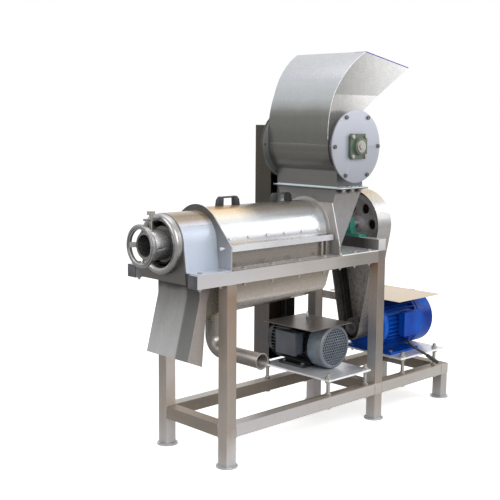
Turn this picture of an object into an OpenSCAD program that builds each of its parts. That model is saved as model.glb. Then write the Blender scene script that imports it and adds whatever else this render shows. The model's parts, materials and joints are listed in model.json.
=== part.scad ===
// Industrial cold press juicer: a screw press and a crusher on a welded tube frame, with two belt drives.
// Millimetres, +Z up. The origin is on the floor at the centre of the four outer feet,
// +X runs along the barrel to the drive end and -Y is the operator's side.

/* [Frame] */
// Length of the lower frame, outside
frame_len = 1460; // [1440:1:1480]
// Width of the frame, outside
frame_w = 420; // [416:1:426]
// Side of the square tube
tube_w = 50; // [49:0.5:51]
// Wall of the square tube
tube_wall = 3; // [2:0.5:4]
// Height of the lower rails' underside over the floor
low_rail_z = 118; // [112:1:122]
// Height of the top rails' upper face over the floor
top_rail_z = 771; // [766:1:776]
// Reach of the top rails past the left legs
rail_overhang = 148; // [145:1:151]
// Radius of a foot plate
foot_r = 43; // [42:0.5:45]
// Thickness of a foot plate
foot_t = 6; // [5:0.5:8]
// Radius of an anchor hole in a foot plate
anchor_r = 4.5; // [3.5:0.5:5]

/* [Sheet and plate] */
// Thickness of the upright end plates
plate_t = 6; // [5:0.5:7]
// Thickness of base flanges and of the deck
flange_t = 4; // [3:0.5:5]
// Thickness of covers and guards
sheet_t = 2.5; // [2:0.25:3]
// Thickness of the hopper and of the juice trough
thin_t = 2; // [1.5:0.25:2.5]
// Radius of the hex bolts
bolt_r = 5; // [4:0.5:5.5]

/* [Press] */
// Height of the press axis over the top rails
press_rise = 99; // [98:0.5:101]
// Length of the discharge housing
housing_len = 163; // [160:1:168]
// Radius of the discharge housing
housing_r = 118; // [117:0.5:119]
// Length between the arch plate and the rear plate
barrel_len = 616; // [606:1:626]
// Radius of the barrel cover
cover_r = 129; // [128:0.5:130]
// Radius of the juice screen, outside
screen_r = 107; // [106:0.5:108]
// Wall of the juice screen
screen_t = 3; // [2.5:0.25:4]
// Gap between the screen and the flight
screw_gap = 2; // [1.5:0.25:3]
// Radius of the screw's core
core_r = 45; // [42:1:48]
// Turns of the flight
flight_turns = 6; // [5:1:7]
// Radius of the shaft in the press bearing
shaft_r = 20; // [19:0.5:20.5]
// Radius of the pressure sleeve
sleeve_r = 60; // [59:0.5:61]
// Inner radius of the discharge ring
ring_r = 87; // [86:0.5:88]
// Radial width of the discharge ring
ring_w = 30; // [28:1:31]
// Radius of the handwheel
wheel_r = 82; // [80:1:86]

/* [Juice outlet] */
// Depth of the trough under the top rails, at the outlet
trough_depth = 160; // [155:1:168]
// Rise of the trough's bottom over its length
trough_rise = 16; // [12:1:20]
// Radius of the outlet pipe
pipe_r = 30.5; // [29.5:0.25:31.5]
// Height of the outlet's axis over the floor
pipe_z = 416; // [410:1:424]
// Reach of the outlet in front of the centre line
pipe_reach = 268; // [260:1:280]

/* [Press drive] */
// Radius of the big pulley
big_pulley_r = 140; // [138:1:142]
// Radius of the small pulley
small_pulley_r = 45; // [44:1:48]
// Width of the belts
belt_w = 8; // [7.5:0.25:8.5]
// Shaft height of the press motor
press_motor_h = 132; // [131:0.5:134]
// Radius of the press motor
press_motor_r = 128; // [125:0.5:129]
// Gap between the lower rails and the press motor's plate
press_plate_up = 74; // [71:1:78]

/* [Crusher] */
// Height of the crusher's axis over the top rails
crusher_rise = 461; // [455:1:467]
// Distance from the rear plate to the crusher's axis
crusher_in = 100; // [97:1:103]
// Width of the crusher, between its drum's faces
crusher_w = 357; // [353:1:360]
// Radius of the crusher's drum
drum_r = 122; // [121:0.5:123]
// Radius of the front disc
disc_r = 155; // [153:0.5:157]
// Side of the square flange bearings
flange_bearing_w = 108; // [106:0.5:109]
// Radius of the crusher's shaft
crusher_shaft_r = 15; // [14:0.5:15.5]
// Rows of knives along the rotor
knife_rows = 11; // [9:1:12]

/* [Hopper] */
// Height of the hopper's back edge over the crusher's axis
hopper_back_h = 404; // [398:1:408]
// Reach of the hopper's tip in front of the crusher's axis
hopper_reach = 396; // [390:1:402]
// Height of the hopper's tip over the crusher's axis
hopper_tip_h = 349; // [344:1:352]
// Outward flare of the hopper's sides
hopper_flare = 27; // [24:1:30]

/* [Crusher drive] */
// Radius of the crusher's pulley
crusher_pulley_r = 55; // [53:0.5:57]
// Radius of the crusher motor's pulley
crusher_motor_pulley_r = 66; // [64:0.5:68]
// Shaft height of the crusher motor
crusher_motor_h = 100; // [99:0.5:102]
// Radius of the crusher motor
crusher_motor_r = 98; // [95:0.5:98.5]
// Gap between the lower rails and the crusher motor's plate
crusher_plate_up = 64; // [61:1:68]

/* [Hidden] */
$fn = 96;
hull_fn = 32;

// Clearances: between pieces that rest on each other, round a shaft, between moving bodies, and the cuts' overrun
seat = 0.3;
run = 0.1;
free = 0.5;
over = 2;

// Bolt shares, of the bolt's radius
head_r_share = 1.9;
head_h_share = 1.3;
tip_share = 1.4;
bolt_hole_r = bolt_r + seat;
head_r = head_r_share * bolt_r;
head_h = head_h_share * bolt_r;

// Frame places
leg_x = frame_len / 2 - tube_w / 2;
rail_y = frame_w / 2 - tube_w / 2;
rail_in_y = rail_y - tube_w / 2;
low_top_z = low_rail_z + tube_w;
top_under_z = top_rail_z - tube_w;
rail_left_x = -leg_x - tube_w / 2 - rail_overhang;
tube_in = tube_w - 2 * tube_wall;
flange_top_z = top_rail_z + flange_t;
beam_top_z = top_rail_z + tube_w;
anchor_off = (foot_r + tube_w / 2) / 2;
cap_t = 4;
cap_depth = 14;

// Press places, along X from the left end of the top rails
end_plate_in = 7;
ring_body = 14;
press_z = top_rail_z + press_rise;
end_plate_x = rail_left_x + end_plate_in;
housing_x = end_plate_x + plate_t;
arch_x = housing_x + housing_len;
barrel_x = arch_x + plate_t;
rear_x = barrel_x + barrel_len;
deck_x = rear_x + plate_t;
mid_leg_in = 269;
mid_leg_x = deck_x + mid_leg_in;
mid_left_x = mid_leg_x - tube_w / 2;
mid_right_x = mid_leg_x + tube_w / 2;
ring_front_x = end_plate_x - ring_body - ring_w / 2;

// Discharge housing and end plate
housing_spread = 12;
housing_foot = housing_r + housing_spread;
housing_t = 3;
housing_strip = 12;
seam_rise = 71;
seam_z = press_z + seam_rise;
apron_depth = 43;
apron_side = 5;
apron_half = housing_foot + apron_side;
flange_lap = 20;
flange_half = rail_y + flange_lap;
housing_bolt_in = 20;
deck_bolt_in = 14;
deck_bolt_mid = 109;
deck_bolt_right = 35;
hub_wall = 9;
hub_len = 68;
arm_t = 10;
arm_count = 4;
arm_depth = 60;
hub_r = sleeve_r + run;

// Arch plate and rear plate
arch_r = 143;
plate_side_gap = 10;
arch_half = frame_w / 2 - plate_side_gap;
arch_shoulder = 5;
hole_r = screen_r - screen_t;
rear_half = frame_w / 2 - plate_side_gap;
rear_shoulder = 41;
rear_top_half = 152;
rear_top_rise = 123;

// Lock on the discharge ring
lock_arm_reach = 58;
lock_arm_x = ring_front_x - lock_arm_reach;
lock_arm_w = 16;
lock_arm_t = 8;
lock_arm_rise = 93;
lock_reach = 27;
lock_x = ring_front_x - lock_reach;
lock_boss_r = 12;
lock_boss_h = 13;
lock_r = 7;
lock_tip_r = 4;
lock_knob_r = 15.5;
lock_knob_h = 14;
lock_gap = 9;
pad_h = 12;
pad_socket = 5;

// Handwheel, sleeve and cone
wheel_reach = 85;
wheel_front_x = ring_front_x - wheel_reach;
wheel_rim_w = 18;
wheel_rim_t = 20;
wheel_hub_in = 27;
wheel_hub_len = 54;
wheel_hub_wall = 9.6;
spoke_w = 20;
spoke_t = 14;
sleeve_wall = 8;
sleeve_in_r = sleeve_r - sleeve_wall;
sleeve_in = 37;
sleeve_front_x = wheel_front_x + sleeve_in;
slot_w = 10;
slot_len = 26;
slot_depth = 4;
slot_angle = 8;
cone_len = 77;
cone_gap = 6;
cone_step = 4;
cone_front_x = arch_x - cone_gap;
cone_back_x = cone_front_x - cone_len;
cone_big_r = hole_r - cone_gap;
cone_small_r = sleeve_r + cone_step;
cone_t = 6;
nose_t = 8;
shaft_step = 5;
shaft_reach = 60;
shaft_front_r = shaft_r + shaft_step;
shaft_front_x = arch_x - shaft_reach;

// Barrel cover and casing
cover_gap = free;
skirt_drop = 8;
casing_gap = 10;
lip_half = rail_in_y + casing_gap;
lip_drop = 24;
handle_w = 12;
handle_span = 125;
handle_top_span = 96;
handle_rise = 38;
handle_foot_r = 9;
handle_places_share = [0.26, 0.75];
cover_bolt_n = 6;
cover_bolt_r = 4;
cover_bolt_rise = 15;
cover_bolt_y = sqrt(pow(cover_r, 2) - pow(cover_bolt_rise - head_r_share * cover_bolt_r, 2)) + seat;
cover_bolt_in = sqrt(pow(cover_r - sheet_t, 2) - pow(cover_bolt_rise + head_r_share * cover_bolt_r,
  2)) - seat;
casing_t = 3;
casing_half = rail_in_y - casing_gap;
casing_bolt_n = 4;
post_w = 12;
post_xs = [34, 62];
ring_disc_t = 6;
screen_x = barrel_x + seat;
screen_len = barrel_len - ring_disc_t - 2 * seat;
screen_ring_n = 5;
screen_ring_h = 5;
screen_ring_w = 8;

// Screw
flight_t = 8;
flight_in = 8;
flight_short = 26;
flight_x = barrel_x + flight_in;
flight_len = barrel_len - flight_short;
flight_steps = 20;
screw_r = screen_r - screen_t - screw_gap;
flight_in_r = (core_r + seat) / cos(180 / flight_steps);
pitch_fall_share = 0.25;
core_end_gap = 4;

// Trough and outlet
trough_in_left = 56;
trough_in_right = 28;
trough_x = barrel_x + trough_in_left;
trough_len = barrel_len - trough_in_left - trough_in_right;
trough_lap = 12;
trough_half = rail_in_y + trough_lap;
trough_crease = [22, 73];
trough_knee = [34, 89];
trough_round = 70;
trough_flange_t = 3;
trough_top_z = top_under_z - seat - trough_flange_t;
outlet_in = 40;
outlet_x = trough_x + outlet_in;
outlet_y = 20;
pipe_wall = 2;
pipe_bend = 60;
pipe_end_t = 6;
pipe_end_w = 2.5;
spigot_drop = 22;
spigot_z = top_under_z - seat - trough_depth - spigot_drop;

// Pomace chute, its points as X behind the end plate and Z under the top rails
chute_side_gap = 34.5;
chute_half = rail_in_y - chute_side_gap;
chute_front = [[9, 0], [76, 60], [76, 109], [16, 342]];
chute_back = [[89, 372], [113, 114], [166, 0]];

// Rotating drive of the press
pulley_off = 35;
pulley_x = mid_right_x + pulley_off;
groove_pitch = 18;
groove_edge = 11;
groove_depth = 11;
groove_slope = 3.5;
press_belt_n = 3;
press_pulley_w = (press_belt_n - 1) * groove_pitch + 2 * groove_edge;
pulley_holes = 6;
pulley_hole_share = 0.165;
pulley_hole_place_share = 0.565;
web_t = 14;
rim_t = 22;
hub_share = 1.9;
bearing_base_t = 14;
bearing_half = 98;
bearing_bolt_y = 68;
bearing_base_w = 54;
bearing_body_w = 36;
bearing_body_r = 38;
bearing_z = beam_top_z + bearing_base_t;
shaft_tip = 3;
shaft_end_x = pulley_x + press_pulley_w + shaft_tip;

// Press motor
press_motor_off = 105;
press_motor_x = mid_right_x + press_motor_off;
press_motor_len = 382;
press_cowl_len = 104;
motor_plate_t = 8;
press_motor_z = low_top_z + press_plate_up + motor_plate_t + press_motor_h;
press_plate_in = 40;
press_plate_len = 335;
motor_plate_gap = 5;
plate_half = frame_w / 2 - motor_plate_gap;
press_stud_xs = [75, 325];
press_motor_shaft_r = 19;
press_box = [120, 37, 115];
press_box_at = 110;
press_box_up = 10;
press_foot_at = 52;
press_foot_len = 208;
press_foot_half = 135;
press_cover_gap = 8;
press_cover_len = 318;
press_cover_half = frame_w / 2 + motor_plate_gap;
spacer_r = 9;

// Press guard
guard_in = 27;
guard_x = pulley_x - guard_in;
guard_depth = 92;
guard_top_gap = 18;
guard_low_gap = 13;
guard_top_r = big_pulley_r + guard_top_gap;
guard_low_r = small_pulley_r + guard_low_gap;
guard_shaft_r = 30;
guard_bar_z = 505;
guard_bar_h = 35;
guard_tab_h = 32;
guard_tab_half = 150;

// Crusher
crusher_x = deck_x + crusher_in;
crusher_z = top_rail_z + crusher_rise;
crusher_y = -137;
crusher_back_y = crusher_y + crusher_w;
drum_t = 3;
front_tube_step = 6;
front_tube_r = drum_r - front_tube_step;
front_tube_len = 41;
disc_t = 6;
ring_t = 8;
ring_front_y = crusher_y - front_tube_len - ring_t;
disc_y = ring_front_y - disc_t;
back_disc_y = crusher_back_y + ring_t;
disc_bolts = 6;
disc_bolt_in = 14;
neck_in = 39;
neck_len = 170;
neck_x = deck_x + neck_in;
neck_drop = 181;
neck_z = crusher_z - neck_drop;
neck_flange_x = 6;
neck_flange_y = 30;
neck_flange_back = 19.5;
neck_bolt_n = 3;
flange_bearing_t = 14;
bearing_hub_r = 35;
bearing_hub_len = 26;
bearing_cap_r = 26;
bearing_cap_len = 30;
bearing_bolt_share = 0.77;
rotor_r = 60;
knife_r = 100;
knife_t = 12;
knife_teeth = 6;
knife_tooth_share = 0.3;
rotor_gap = 8;

// Hopper
hopper_back_x = crusher_x - drum_r;
hopper_bend_rise = 58;
hopper_bend_z = crusher_z + hopper_bend_rise;
hopper_arc_r = 391;
hopper_front = [46, 113];
hopper_mouth_x = 85;
hopper_flare_z = 218;
hopper_rim_z = 408;

// Feed chute
feed_t = 3;
feed_wide = 199;
feed_wide_rise = 41;
feed_top_half = 152;
feed_top_rise = 222;
feed_foot_half = 120;
collar_r = 40;
collar_len = 90;
collar_in = 29;
collar_x = deck_x + collar_in;

// Crusher drive and its guard
pulley_gap = 2;
crusher_pulley_y = back_disc_y + disc_t + bearing_cap_len + pulley_gap;
crusher_belt_n = 2;
crusher_pulley_w = (crusher_belt_n - 1) * groove_pitch + 2 * groove_edge;
crusher_guard_in = 26;
crusher_guard_y = crusher_pulley_y - crusher_guard_in;
crusher_guard_depth = 100;
crusher_guard_half = 85;
crusher_guard_low = 105;
guard_ear_z = 40;

// Crusher motor
crusher_motor_in = 18;
crusher_motor_y = crusher_pulley_y - crusher_motor_in;
crusher_motor_len = 340;
crusher_cowl_len = 78;
crusher_motor_z = low_top_z + crusher_plate_up + motor_plate_t + crusher_motor_h;
crusher_plate_left = 161;
crusher_plate_right = 117;
crusher_stud_xs = [-146, 102];
crusher_motor_shaft_r = 14;
crusher_box = [120, 55, 104];
crusher_box_at = 128;
crusher_box_up = 18;
box_neck = 8;
crusher_foot_at = 90;
crusher_foot_len = 150;
crusher_foot_half = 100;
crusher_cover_x = [-201, 62];
crusher_cover_in = [383, 93];
crusher_cover_y = [for (d = crusher_cover_in) crusher_motor_y - d];
crusher_cover_gap = 6;
eye_off = -20;
eye_in = 188;
eye_y = crusher_motor_y - eye_in;
eye_r = 11;
eye_rod_r = 4;
stud_r = 8;
stud_tip = 14;
nut_r = 13.5;
nut_h = 10;

// Power lead: it leaves the gland, runs over the motor plate's front edge and ends in a sleeve by the lower rail
lead_r = 6;
lead_sides = 10;
lead_points = [
  [493, -146, 312], [493.5, -149, 300], [496, -158, 288], [501, -173, 277], [509, -190, 267],
  [520, -206, 257], [531, -216, 248], [541, -222, 240]
];
lead_sleeve_r = 9;
lead_sleeve_len = 68;
gland_r = 11;
gland_tip_r = lead_r + over;
gland_len = 22.5;
gland_share = 0.483;

// Shared shapes

// An extrusion along X of a figure drawn in Y and Z
module extrude_x(x, len) translate([x, 0, 0]) rotate([90, 0, 90]) linear_extrude(len) children();

// An extrusion along Y of a figure drawn in X and Z
module extrude_y(y, len) translate([0, y + len, 0]) rotate([90, 0, 0]) linear_extrude(len) children();

module rod_x(x, len, r, y, z) translate([x, y, z]) rotate([0, 90, 0]) cylinder(h = len, r = r);

module rod_y(x, y, len, r, z) translate([x, y, z]) rotate([-90, 0, 0]) cylinder(h = len, r = r);

module rod_z(x, y, z, len, r) translate([x, y, z]) cylinder(h = len, r = r);

// A round rod between two points
module rod(p, q, r) {
  d = q - p;
  translate(p) rotate([0, acos(d[2] / norm(d)), atan2(d[1], d[0])]) cylinder(h = norm(d), r = r);
}

// A block between two corners
module block(lo, hi) translate(lo) cube(hi - lo);

// A turned form about the press axis, drawn as radius and X
module turn_x(x) translate([x, 0, press_z]) rotate([0, 90, 0]) rotate_extrude() children();

// A hex head on a plain shank, with its seat at z 0
module hex_screw(len, r) {
  cylinder(h = head_h_share * r, r = head_r_share * r, $fn = 6);
  translate([0, 0, -len]) cylinder(h = len + over, r = r);
}

// A hex bolt hanging from its head at the origin, with the nut under the grip
module hex_bolt(grip, r) {
  hex_screw(grip + (head_h_share + tip_share) * r, r);
  translate([0, 0, -grip - head_h_share * r]) cylinder(h = head_h_share * r, r = head_r_share * r, $fn = 6);
}

// A length of the square tube along Z
module square_tube(len) {
  difference() {
    translate([-tube_w / 2, -tube_w / 2, 0]) cube([tube_w, tube_w, len]);
    translate([-tube_in / 2, -tube_in / 2, -over]) cube([tube_in, tube_in, len + 2 * over]);
  }
}

module leg(x, side, z, top) translate([x, side * rail_y, z]) square_tube(top - z);

// Two circles on an upright line, joined by their outer tangents
module slot_2d(z1, r1, z2, r2) {
  d = z1 - z2;
  nz = -(r1 - r2) / d;
  nx = sqrt(1 - nz * nz);
  translate([0, z1]) circle(r1);
  translate([0, z2]) circle(r2);
  polygon([
    [r1 * nx, z1 + r1 * nz], [r2 * nx, z2 + r2 * nz], [-r2 * nx, z2 + r2 * nz], [-r1 * nx, z1 + r1 * nz]
  ]);
}

// A half round roof on two straight sides that spread to the foot
module roof_2d(r, foot, z) {
  intersection() {
    union() {
      translate([0, press_z]) circle(r);
      polygon([[-r, press_z], [r, press_z], [foot, z], [-foot, z]]);
    }
    translate([-foot, z]) square([2 * foot, press_z + r - z]);
  }
}

// Frame

rail_bolt_housing = [housing_x + housing_bolt_in, arch_x - 2 * housing_bolt_in];
rail_bolt_casing = [for (i = [0:casing_bolt_n - 1]) barrel_x + (i + 0.5) * (barrel_len - ring_disc_t) / casing_bolt_n];
rail_bolt_deck = [deck_x + deck_bolt_in, deck_x + deck_bolt_mid, mid_left_x - deck_bolt_right];
rail_bolts = concat(rail_bolt_housing, rail_bolt_casing, rail_bolt_deck);
stud_places = concat(
  [for (x = crusher_stud_xs) [crusher_x + x, crusher_plate_up]],
  [for (x = press_stud_xs) [press_motor_x + x, press_plate_up]]
);

module leg_posts() {
  color("gainsboro") for (side = [-1, 1]) {
    leg(-leg_x, side, foot_t, top_under_z);
    leg(mid_leg_x, side, foot_t, low_rail_z);
    leg(mid_leg_x, side, low_top_z, top_rail_z);
    leg(leg_x, side, foot_t, low_rail_z);
  }
}

module lower_rails() {
  color("gainsboro") {
    for (side = [-1, 1]) difference() {
      translate([-leg_x + tube_w / 2, side * rail_y, low_rail_z + tube_w / 2]) rotate([0, 90, 0])
        square_tube(2 * leg_x);
      for (place = stud_places)
        rod_z(place[0], side * rail_y, low_rail_z - over, tube_w + 2 * over, stud_r + seat);
    }
    for (x = [-leg_x, mid_leg_x, leg_x])
      translate([x, -rail_in_y, low_rail_z + tube_w / 2]) rotate([-90, 0, 0]) square_tube(2 * rail_in_y);
  }
}

module top_rails() {
  color("gainsboro") for (side = [-1, 1]) difference() {
    translate([rail_left_x, side * rail_y, top_rail_z - tube_w / 2]) rotate([0, 90, 0])
      square_tube(mid_left_x - rail_left_x);
    for (x = rail_bolts)
      rod_z(x, side * rail_y, top_under_z - over, tube_w + 2 * over, bolt_hole_r);
  }
}

// A cap with its plug, facing along -X or +X
module end_cap(x, dir, y, z) {
  translate([x, y, z]) mirror([dir > 0 ? 1 : 0, 0, 0]) {
    translate([-cap_t, -tube_w / 2, -tube_w / 2]) cube([cap_t, tube_w, tube_w]);
    translate([-over, -tube_in / 2 + seat, -tube_in / 2 + seat])
      cube([cap_depth + over, tube_in - 2 * seat, tube_in - 2 * seat]);
  }
}

module rail_end_caps() {
  color("dimgray") for (side = [-1, 1]) {
    end_cap(rail_left_x, -1, side * rail_y, top_rail_z - tube_w / 2);
    end_cap(leg_x + tube_w / 2, 1, side * rail_y, low_rail_z + tube_w / 2);
  }
}

module foot_plates() {
  color("gainsboro") for (x = [-leg_x, mid_leg_x, leg_x], side = [-1, 1]) difference() {
    rod_z(x, side * rail_y, 0, foot_t, foot_r);
    for (a = [0:90:270])
      translate([x, side * rail_y, 0]) rotate([0, 0, a]) rod_z(anchor_off, 0, -over, foot_t + 2 * over,
        anchor_r);
  }
}

module bearing_beam() {
  color("gainsboro") {
    difference() {
      translate([mid_leg_x, -frame_w / 2, top_rail_z + tube_w / 2]) rotate([-90, 0,
        0]) square_tube(frame_w);
      for (side = [-1, 1])
        rod_z(mid_leg_x, side * bearing_bolt_y, beam_top_z - tube_w / 2, tube_w, bolt_hole_r);
    }
    for (side = [-1, 1])
      translate([mid_leg_x, side * (frame_w - tube_wall) / 2, top_rail_z + tube_w / 2])
        cube([tube_in - run, tube_wall, tube_in - run], center = true);
  }
}

module deck_plate() {
  color("gainsboro") difference() {
    block([deck_x, -frame_w / 2, top_rail_z], [mid_left_x, frame_w / 2, flange_top_z]);
    for (x = rail_bolt_deck, side = [-1, 1])
      rod_z(x, side * rail_y, top_rail_z - over, flange_t + 2 * over, bolt_hole_r);
  }
}

module foot_bolts(x, y, half_x, half_y, z) {
  for (sx = [-1, 1], sy = [-1, 1])
    translate([x + sx * half_x, y + sy * half_y, z]) hex_bolt(foot_pad_t + motor_plate_t, bolt_r);
}

module frame_bolts() {
  color("silver") {
    for (side = [-1, 1]) {
      for (x = concat(rail_bolt_housing, rail_bolt_deck))
        translate([x, side * rail_y, flange_top_z]) hex_bolt(flange_t + tube_w, bolt_r);
      for (x = rail_bolt_casing)
        translate([x, side * rail_y, flange_top_z]) hex_bolt(flange_t + tube_w + seat + trough_flange_t,
          bolt_r);
      translate([mid_leg_x, side * bearing_bolt_y, bearing_z]) hex_bolt(bearing_base_t + tube_wall, bolt_r);
      for (i = [0:neck_bolt_n - 1])
        translate([neck_x + (i + 0.5) * neck_len / neck_bolt_n, neck_bolt_y(side), neck_z + flange_t])
          hex_bolt(2 * flange_t, bolt_r);
    }
    foot_bolts(press_foot_x, 0, press_foot_len / 2 - foot_bolt_in, press_foot_half - foot_bolt_in,
      press_motor_z - press_motor_h + foot_pad_t);
    foot_bolts(crusher_x, crusher_foot_y, crusher_foot_half - foot_bolt_in,
      crusher_foot_len / 2 - foot_bolt_in,
      crusher_motor_z - crusher_motor_h + foot_pad_t);
  }
}

// A stud through a lower rail, with nuts under and on the rail and under and on the motor's plate
module plate_stud(up) {
  rail_faces = [-nut_h, tube_w, tube_w + up - nut_h, tube_w + up + motor_plate_t];
  translate([0, 0, -nut_h]) cylinder(h = tube_w + up + motor_plate_t + 2 * nut_h + stud_tip, r = stud_r);
  for (z = rail_faces) translate([0, 0, z]) cylinder(h = nut_h, r = nut_r, $fn = 6);
}

module plate_studs() {
  color("silver") for (place = stud_places, side = [-1, 1])
    translate([place[0], side * rail_y, low_rail_z]) plate_stud(place[1]);
}

// Discharge end

module end_plate() {
  color("lightgray") difference() {
    union() {
      extrude_x(end_plate_x, plate_t) {
        roof_2d(housing_r, housing_foot, flange_top_z);
        polygon([
          [housing_foot, flange_top_z], [apron_half, top_rail_z - apron_depth],
          [-apron_half, top_rail_z - apron_depth], [-housing_foot, flange_top_z]
        ]);
      }
    }
    rod_x(end_plate_x - over, plate_t + 2 * over, ring_r, 0, press_z);
  }
  color("lightgray") difference() {
    union() {
      rod_x(end_plate_x, hub_len, hub_r + hub_wall, 0, press_z);
      for (i = [0:arm_count - 1])
        translate([housing_x, 0, press_z]) rotate([(i + 0.5) * 360 / arm_count, 0, 0])
          translate([0, hub_r + hub_wall / 2, -arm_t / 2]) cube([arm_depth, housing_r - 12 - hub_r, arm_t]);
    }
    rod_x(end_plate_x - over, hub_len + 2 * over, hub_r, 0, press_z);
  }
}

module discharge_ring() {
  mid_r = ring_r + ring_w / 2;
  color("silver") difference() {
    union() {
      turn_x(end_plate_x - ring_body - ring_w / 2) {
        translate([ring_r, ring_w / 2]) square([ring_w, ring_body]);
        intersection() {
          translate([mid_r, ring_w / 2]) circle(ring_w / 2);
          translate([ring_r, 0]) square([ring_w, ring_w / 2 + over]);
        }
      }
      block([lock_arm_x, -lock_arm_w / 2, press_z + lock_arm_rise],
        [ring_front_x + ring_w / 2, lock_arm_w / 2, press_z + lock_arm_rise + lock_arm_t]);
      rod_z(lock_x, 0, press_z + lock_arm_rise, lock_boss_h, lock_boss_r);
    }
    rod_z(lock_x, 0, press_z + lock_arm_rise - over, lock_boss_h + 2 * over, lock_r + run);
  }
}

module discharge_housing() {
  color("aliceblue") difference() {
    union() {
      extrude_x(housing_x, housing_len) roof_2d(housing_r, housing_foot, top_rail_z);
      block([housing_x, -flange_half, top_rail_z], [arch_x, flange_half, flange_top_z]);
    }
    extrude_x(housing_x - over, housing_len + 2 * over)
      roof_2d(housing_r - housing_t, housing_foot - housing_t, top_rail_z - over);
    block([housing_x - over, -housing_r, seam_z], [arch_x + over, housing_r, press_z + housing_r + over]);
    for (x = rail_bolt_housing, side = [-1, 1])
      rod_z(x, side * rail_y, top_rail_z - over, flange_t + 2 * over, bolt_hole_r);
  }
  color("aliceblue") for (x = [housing_x, arch_x - housing_strip])
    block([x, -housing_foot, top_rail_z], [x + housing_strip, housing_foot, flange_top_z]);
}

module housing_cover() {
  color("silver") intersection() {
    difference() {
      rod_x(housing_x, housing_len, housing_r, 0, press_z);
      rod_x(housing_x - over, housing_len + 2 * over, housing_r - housing_t, 0, press_z);
    }
    block([housing_x, -housing_r, seam_z + seat], [arch_x, housing_r, press_z + housing_r]);
  }
}

lock_top_z = press_z + lock_arm_rise + lock_boss_h;
pad_z = press_z + sleeve_r + seat;

module lock_screw() {
  color("silver") {
    rod_z(lock_x, 0, pad_z + pad_h + free, lock_top_z + lock_gap - pad_z - pad_h, lock_r);
    rod_z(lock_x, 0, pad_z + pad_h - pad_socket + seat, pad_socket + over, lock_tip_r);
    difference() {
      rod_z(lock_x, 0, lock_top_z + lock_gap, lock_knob_h, lock_knob_r);
      for (a = [0:30:330])
        translate([lock_x, 0, 0]) rotate([0, 0, a])
          rod_z(lock_knob_r + lock_tip_r / 2, 0, lock_top_z + lock_gap - over, lock_knob_h + 2 * over,
            lock_tip_r);
    }
  }
}

module lock_pad() {
  color("goldenrod") difference() {
    rod_z(lock_x, 0, pad_z, pad_h, lock_r);
    rod_z(lock_x, 0, pad_z + pad_h - pad_socket, pad_socket + over, lock_tip_r + run);
  }
}

module handwheel() {
  hub_r2 = sleeve_in_r - run;
  rim_in = wheel_r - wheel_rim_w;
  hub_x = wheel_front_x + wheel_hub_in;
  color("darkgray") {
    turn_x(wheel_front_x) translate([rim_in + wheel_rim_w / 2, wheel_rim_t / 2])
      for (s = [-1, 1]) {
        translate([s * (wheel_rim_w - wheel_rim_t * 0.6) / 2, 0]) circle(wheel_rim_t * 0.3);
        square([wheel_rim_w - wheel_rim_t * 0.6, wheel_rim_t], center = true);
        square([wheel_rim_w, wheel_rim_t * 0.5], center = true);
      }
    turn_x(hub_x) translate([hub_r2 - wheel_hub_wall, 0]) square([wheel_hub_wall, wheel_hub_len]);
    for (a = [30:120:270]) translate([0, 0, press_z]) rotate([a, 0, 0]) extrude_y(-spoke_w / 2, spoke_w)
      polygon([
        [wheel_front_x + 3, rim_in + 3], [wheel_front_x + wheel_rim_t - 3, rim_in + 3],
        [sleeve_front_x - free, hub_r2 - wheel_hub_wall / 2], [sleeve_front_x - spoke_t,
          hub_r2 - wheel_hub_wall / 2]
      ]);
  }
}

module pressure_sleeve() {
  color("silver") difference() {
    rod_x(sleeve_front_x, cone_front_x - nose_t - seat - sleeve_front_x, sleeve_r, 0, press_z);
    rod_x(sleeve_front_x - over, cone_front_x - sleeve_front_x, sleeve_in_r, 0, press_z);
    translate([lock_x - slot_len / 2, 0, press_z]) rotate([slot_angle, 0, 0])
      translate([0, -sleeve_r - over, -slot_w / 2]) cube([slot_len, slot_depth + over, slot_w]);
  }
}

module pressure_cone() {
  color("gainsboro") turn_x(0) polygon([
    [shaft_front_r + run, cone_front_x], [cone_small_r, cone_front_x], [cone_big_r, cone_back_x],
    [cone_big_r - cone_t, cone_back_x], [sleeve_r + run, cone_front_x - nose_t * 1.8],
    [sleeve_r + run, cone_front_x - nose_t], [shaft_front_r + run, cone_front_x - nose_t]
  ]);
}

function chute_points(pts, dx) = [for (p = pts) [end_plate_x + p[0] + dx, top_rail_z - seat - p[1]]];

module pomace_chute() {
  outer = concat(chute_points(chute_front, 0), chute_points(chute_back, 0));
  front = chute_points(chute_front, sheet_t * 1.2);
  back = chute_points(chute_back, 0);
  shift = sheet_t * 1.2;
  color("darkgray") difference() {
    extrude_y(-chute_half, 2 * chute_half) polygon(outer);
    extrude_y(-chute_half + sheet_t, 2 * (chute_half - sheet_t)) polygon([
      [front[0][0] - over, front[0][1] + over], each front,
      [front[3][0] - over / 4, front[3][1] - over], [back[0][0] + over, back[0][1] - over],
      [back[1][0] + over, back[1][1]], [back[1][0] - shift, back[1][1]], [back[2][0] - shift, back[2][1]],
      [back[2][0] - shift + over, back[2][1] + over]
    ]);
  }
}

// Barrel

function tangent_point(p, r) = let (a = atan2(p[1], p[0]) + acos(r / norm(p))) [r * cos(a), r * sin(a)];

module arch_plate() {
  touch = tangent_point([arch_half, -arch_shoulder], arch_r - run);
  color("silver") difference() {
    union() {
      rod_x(arch_x, plate_t, arch_r, 0, press_z);
      extrude_x(arch_x, plate_t) translate([0, press_z]) polygon([
        touch, [arch_half, -arch_shoulder], [arch_half, -press_rise], [-arch_half, -press_rise],
        [-arch_half, -arch_shoulder], [-touch[0], touch[1]]
      ]);
    }
    rod_x(arch_x - over, plate_t + 2 * over, hole_r, 0, press_z);
  }
}

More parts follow.
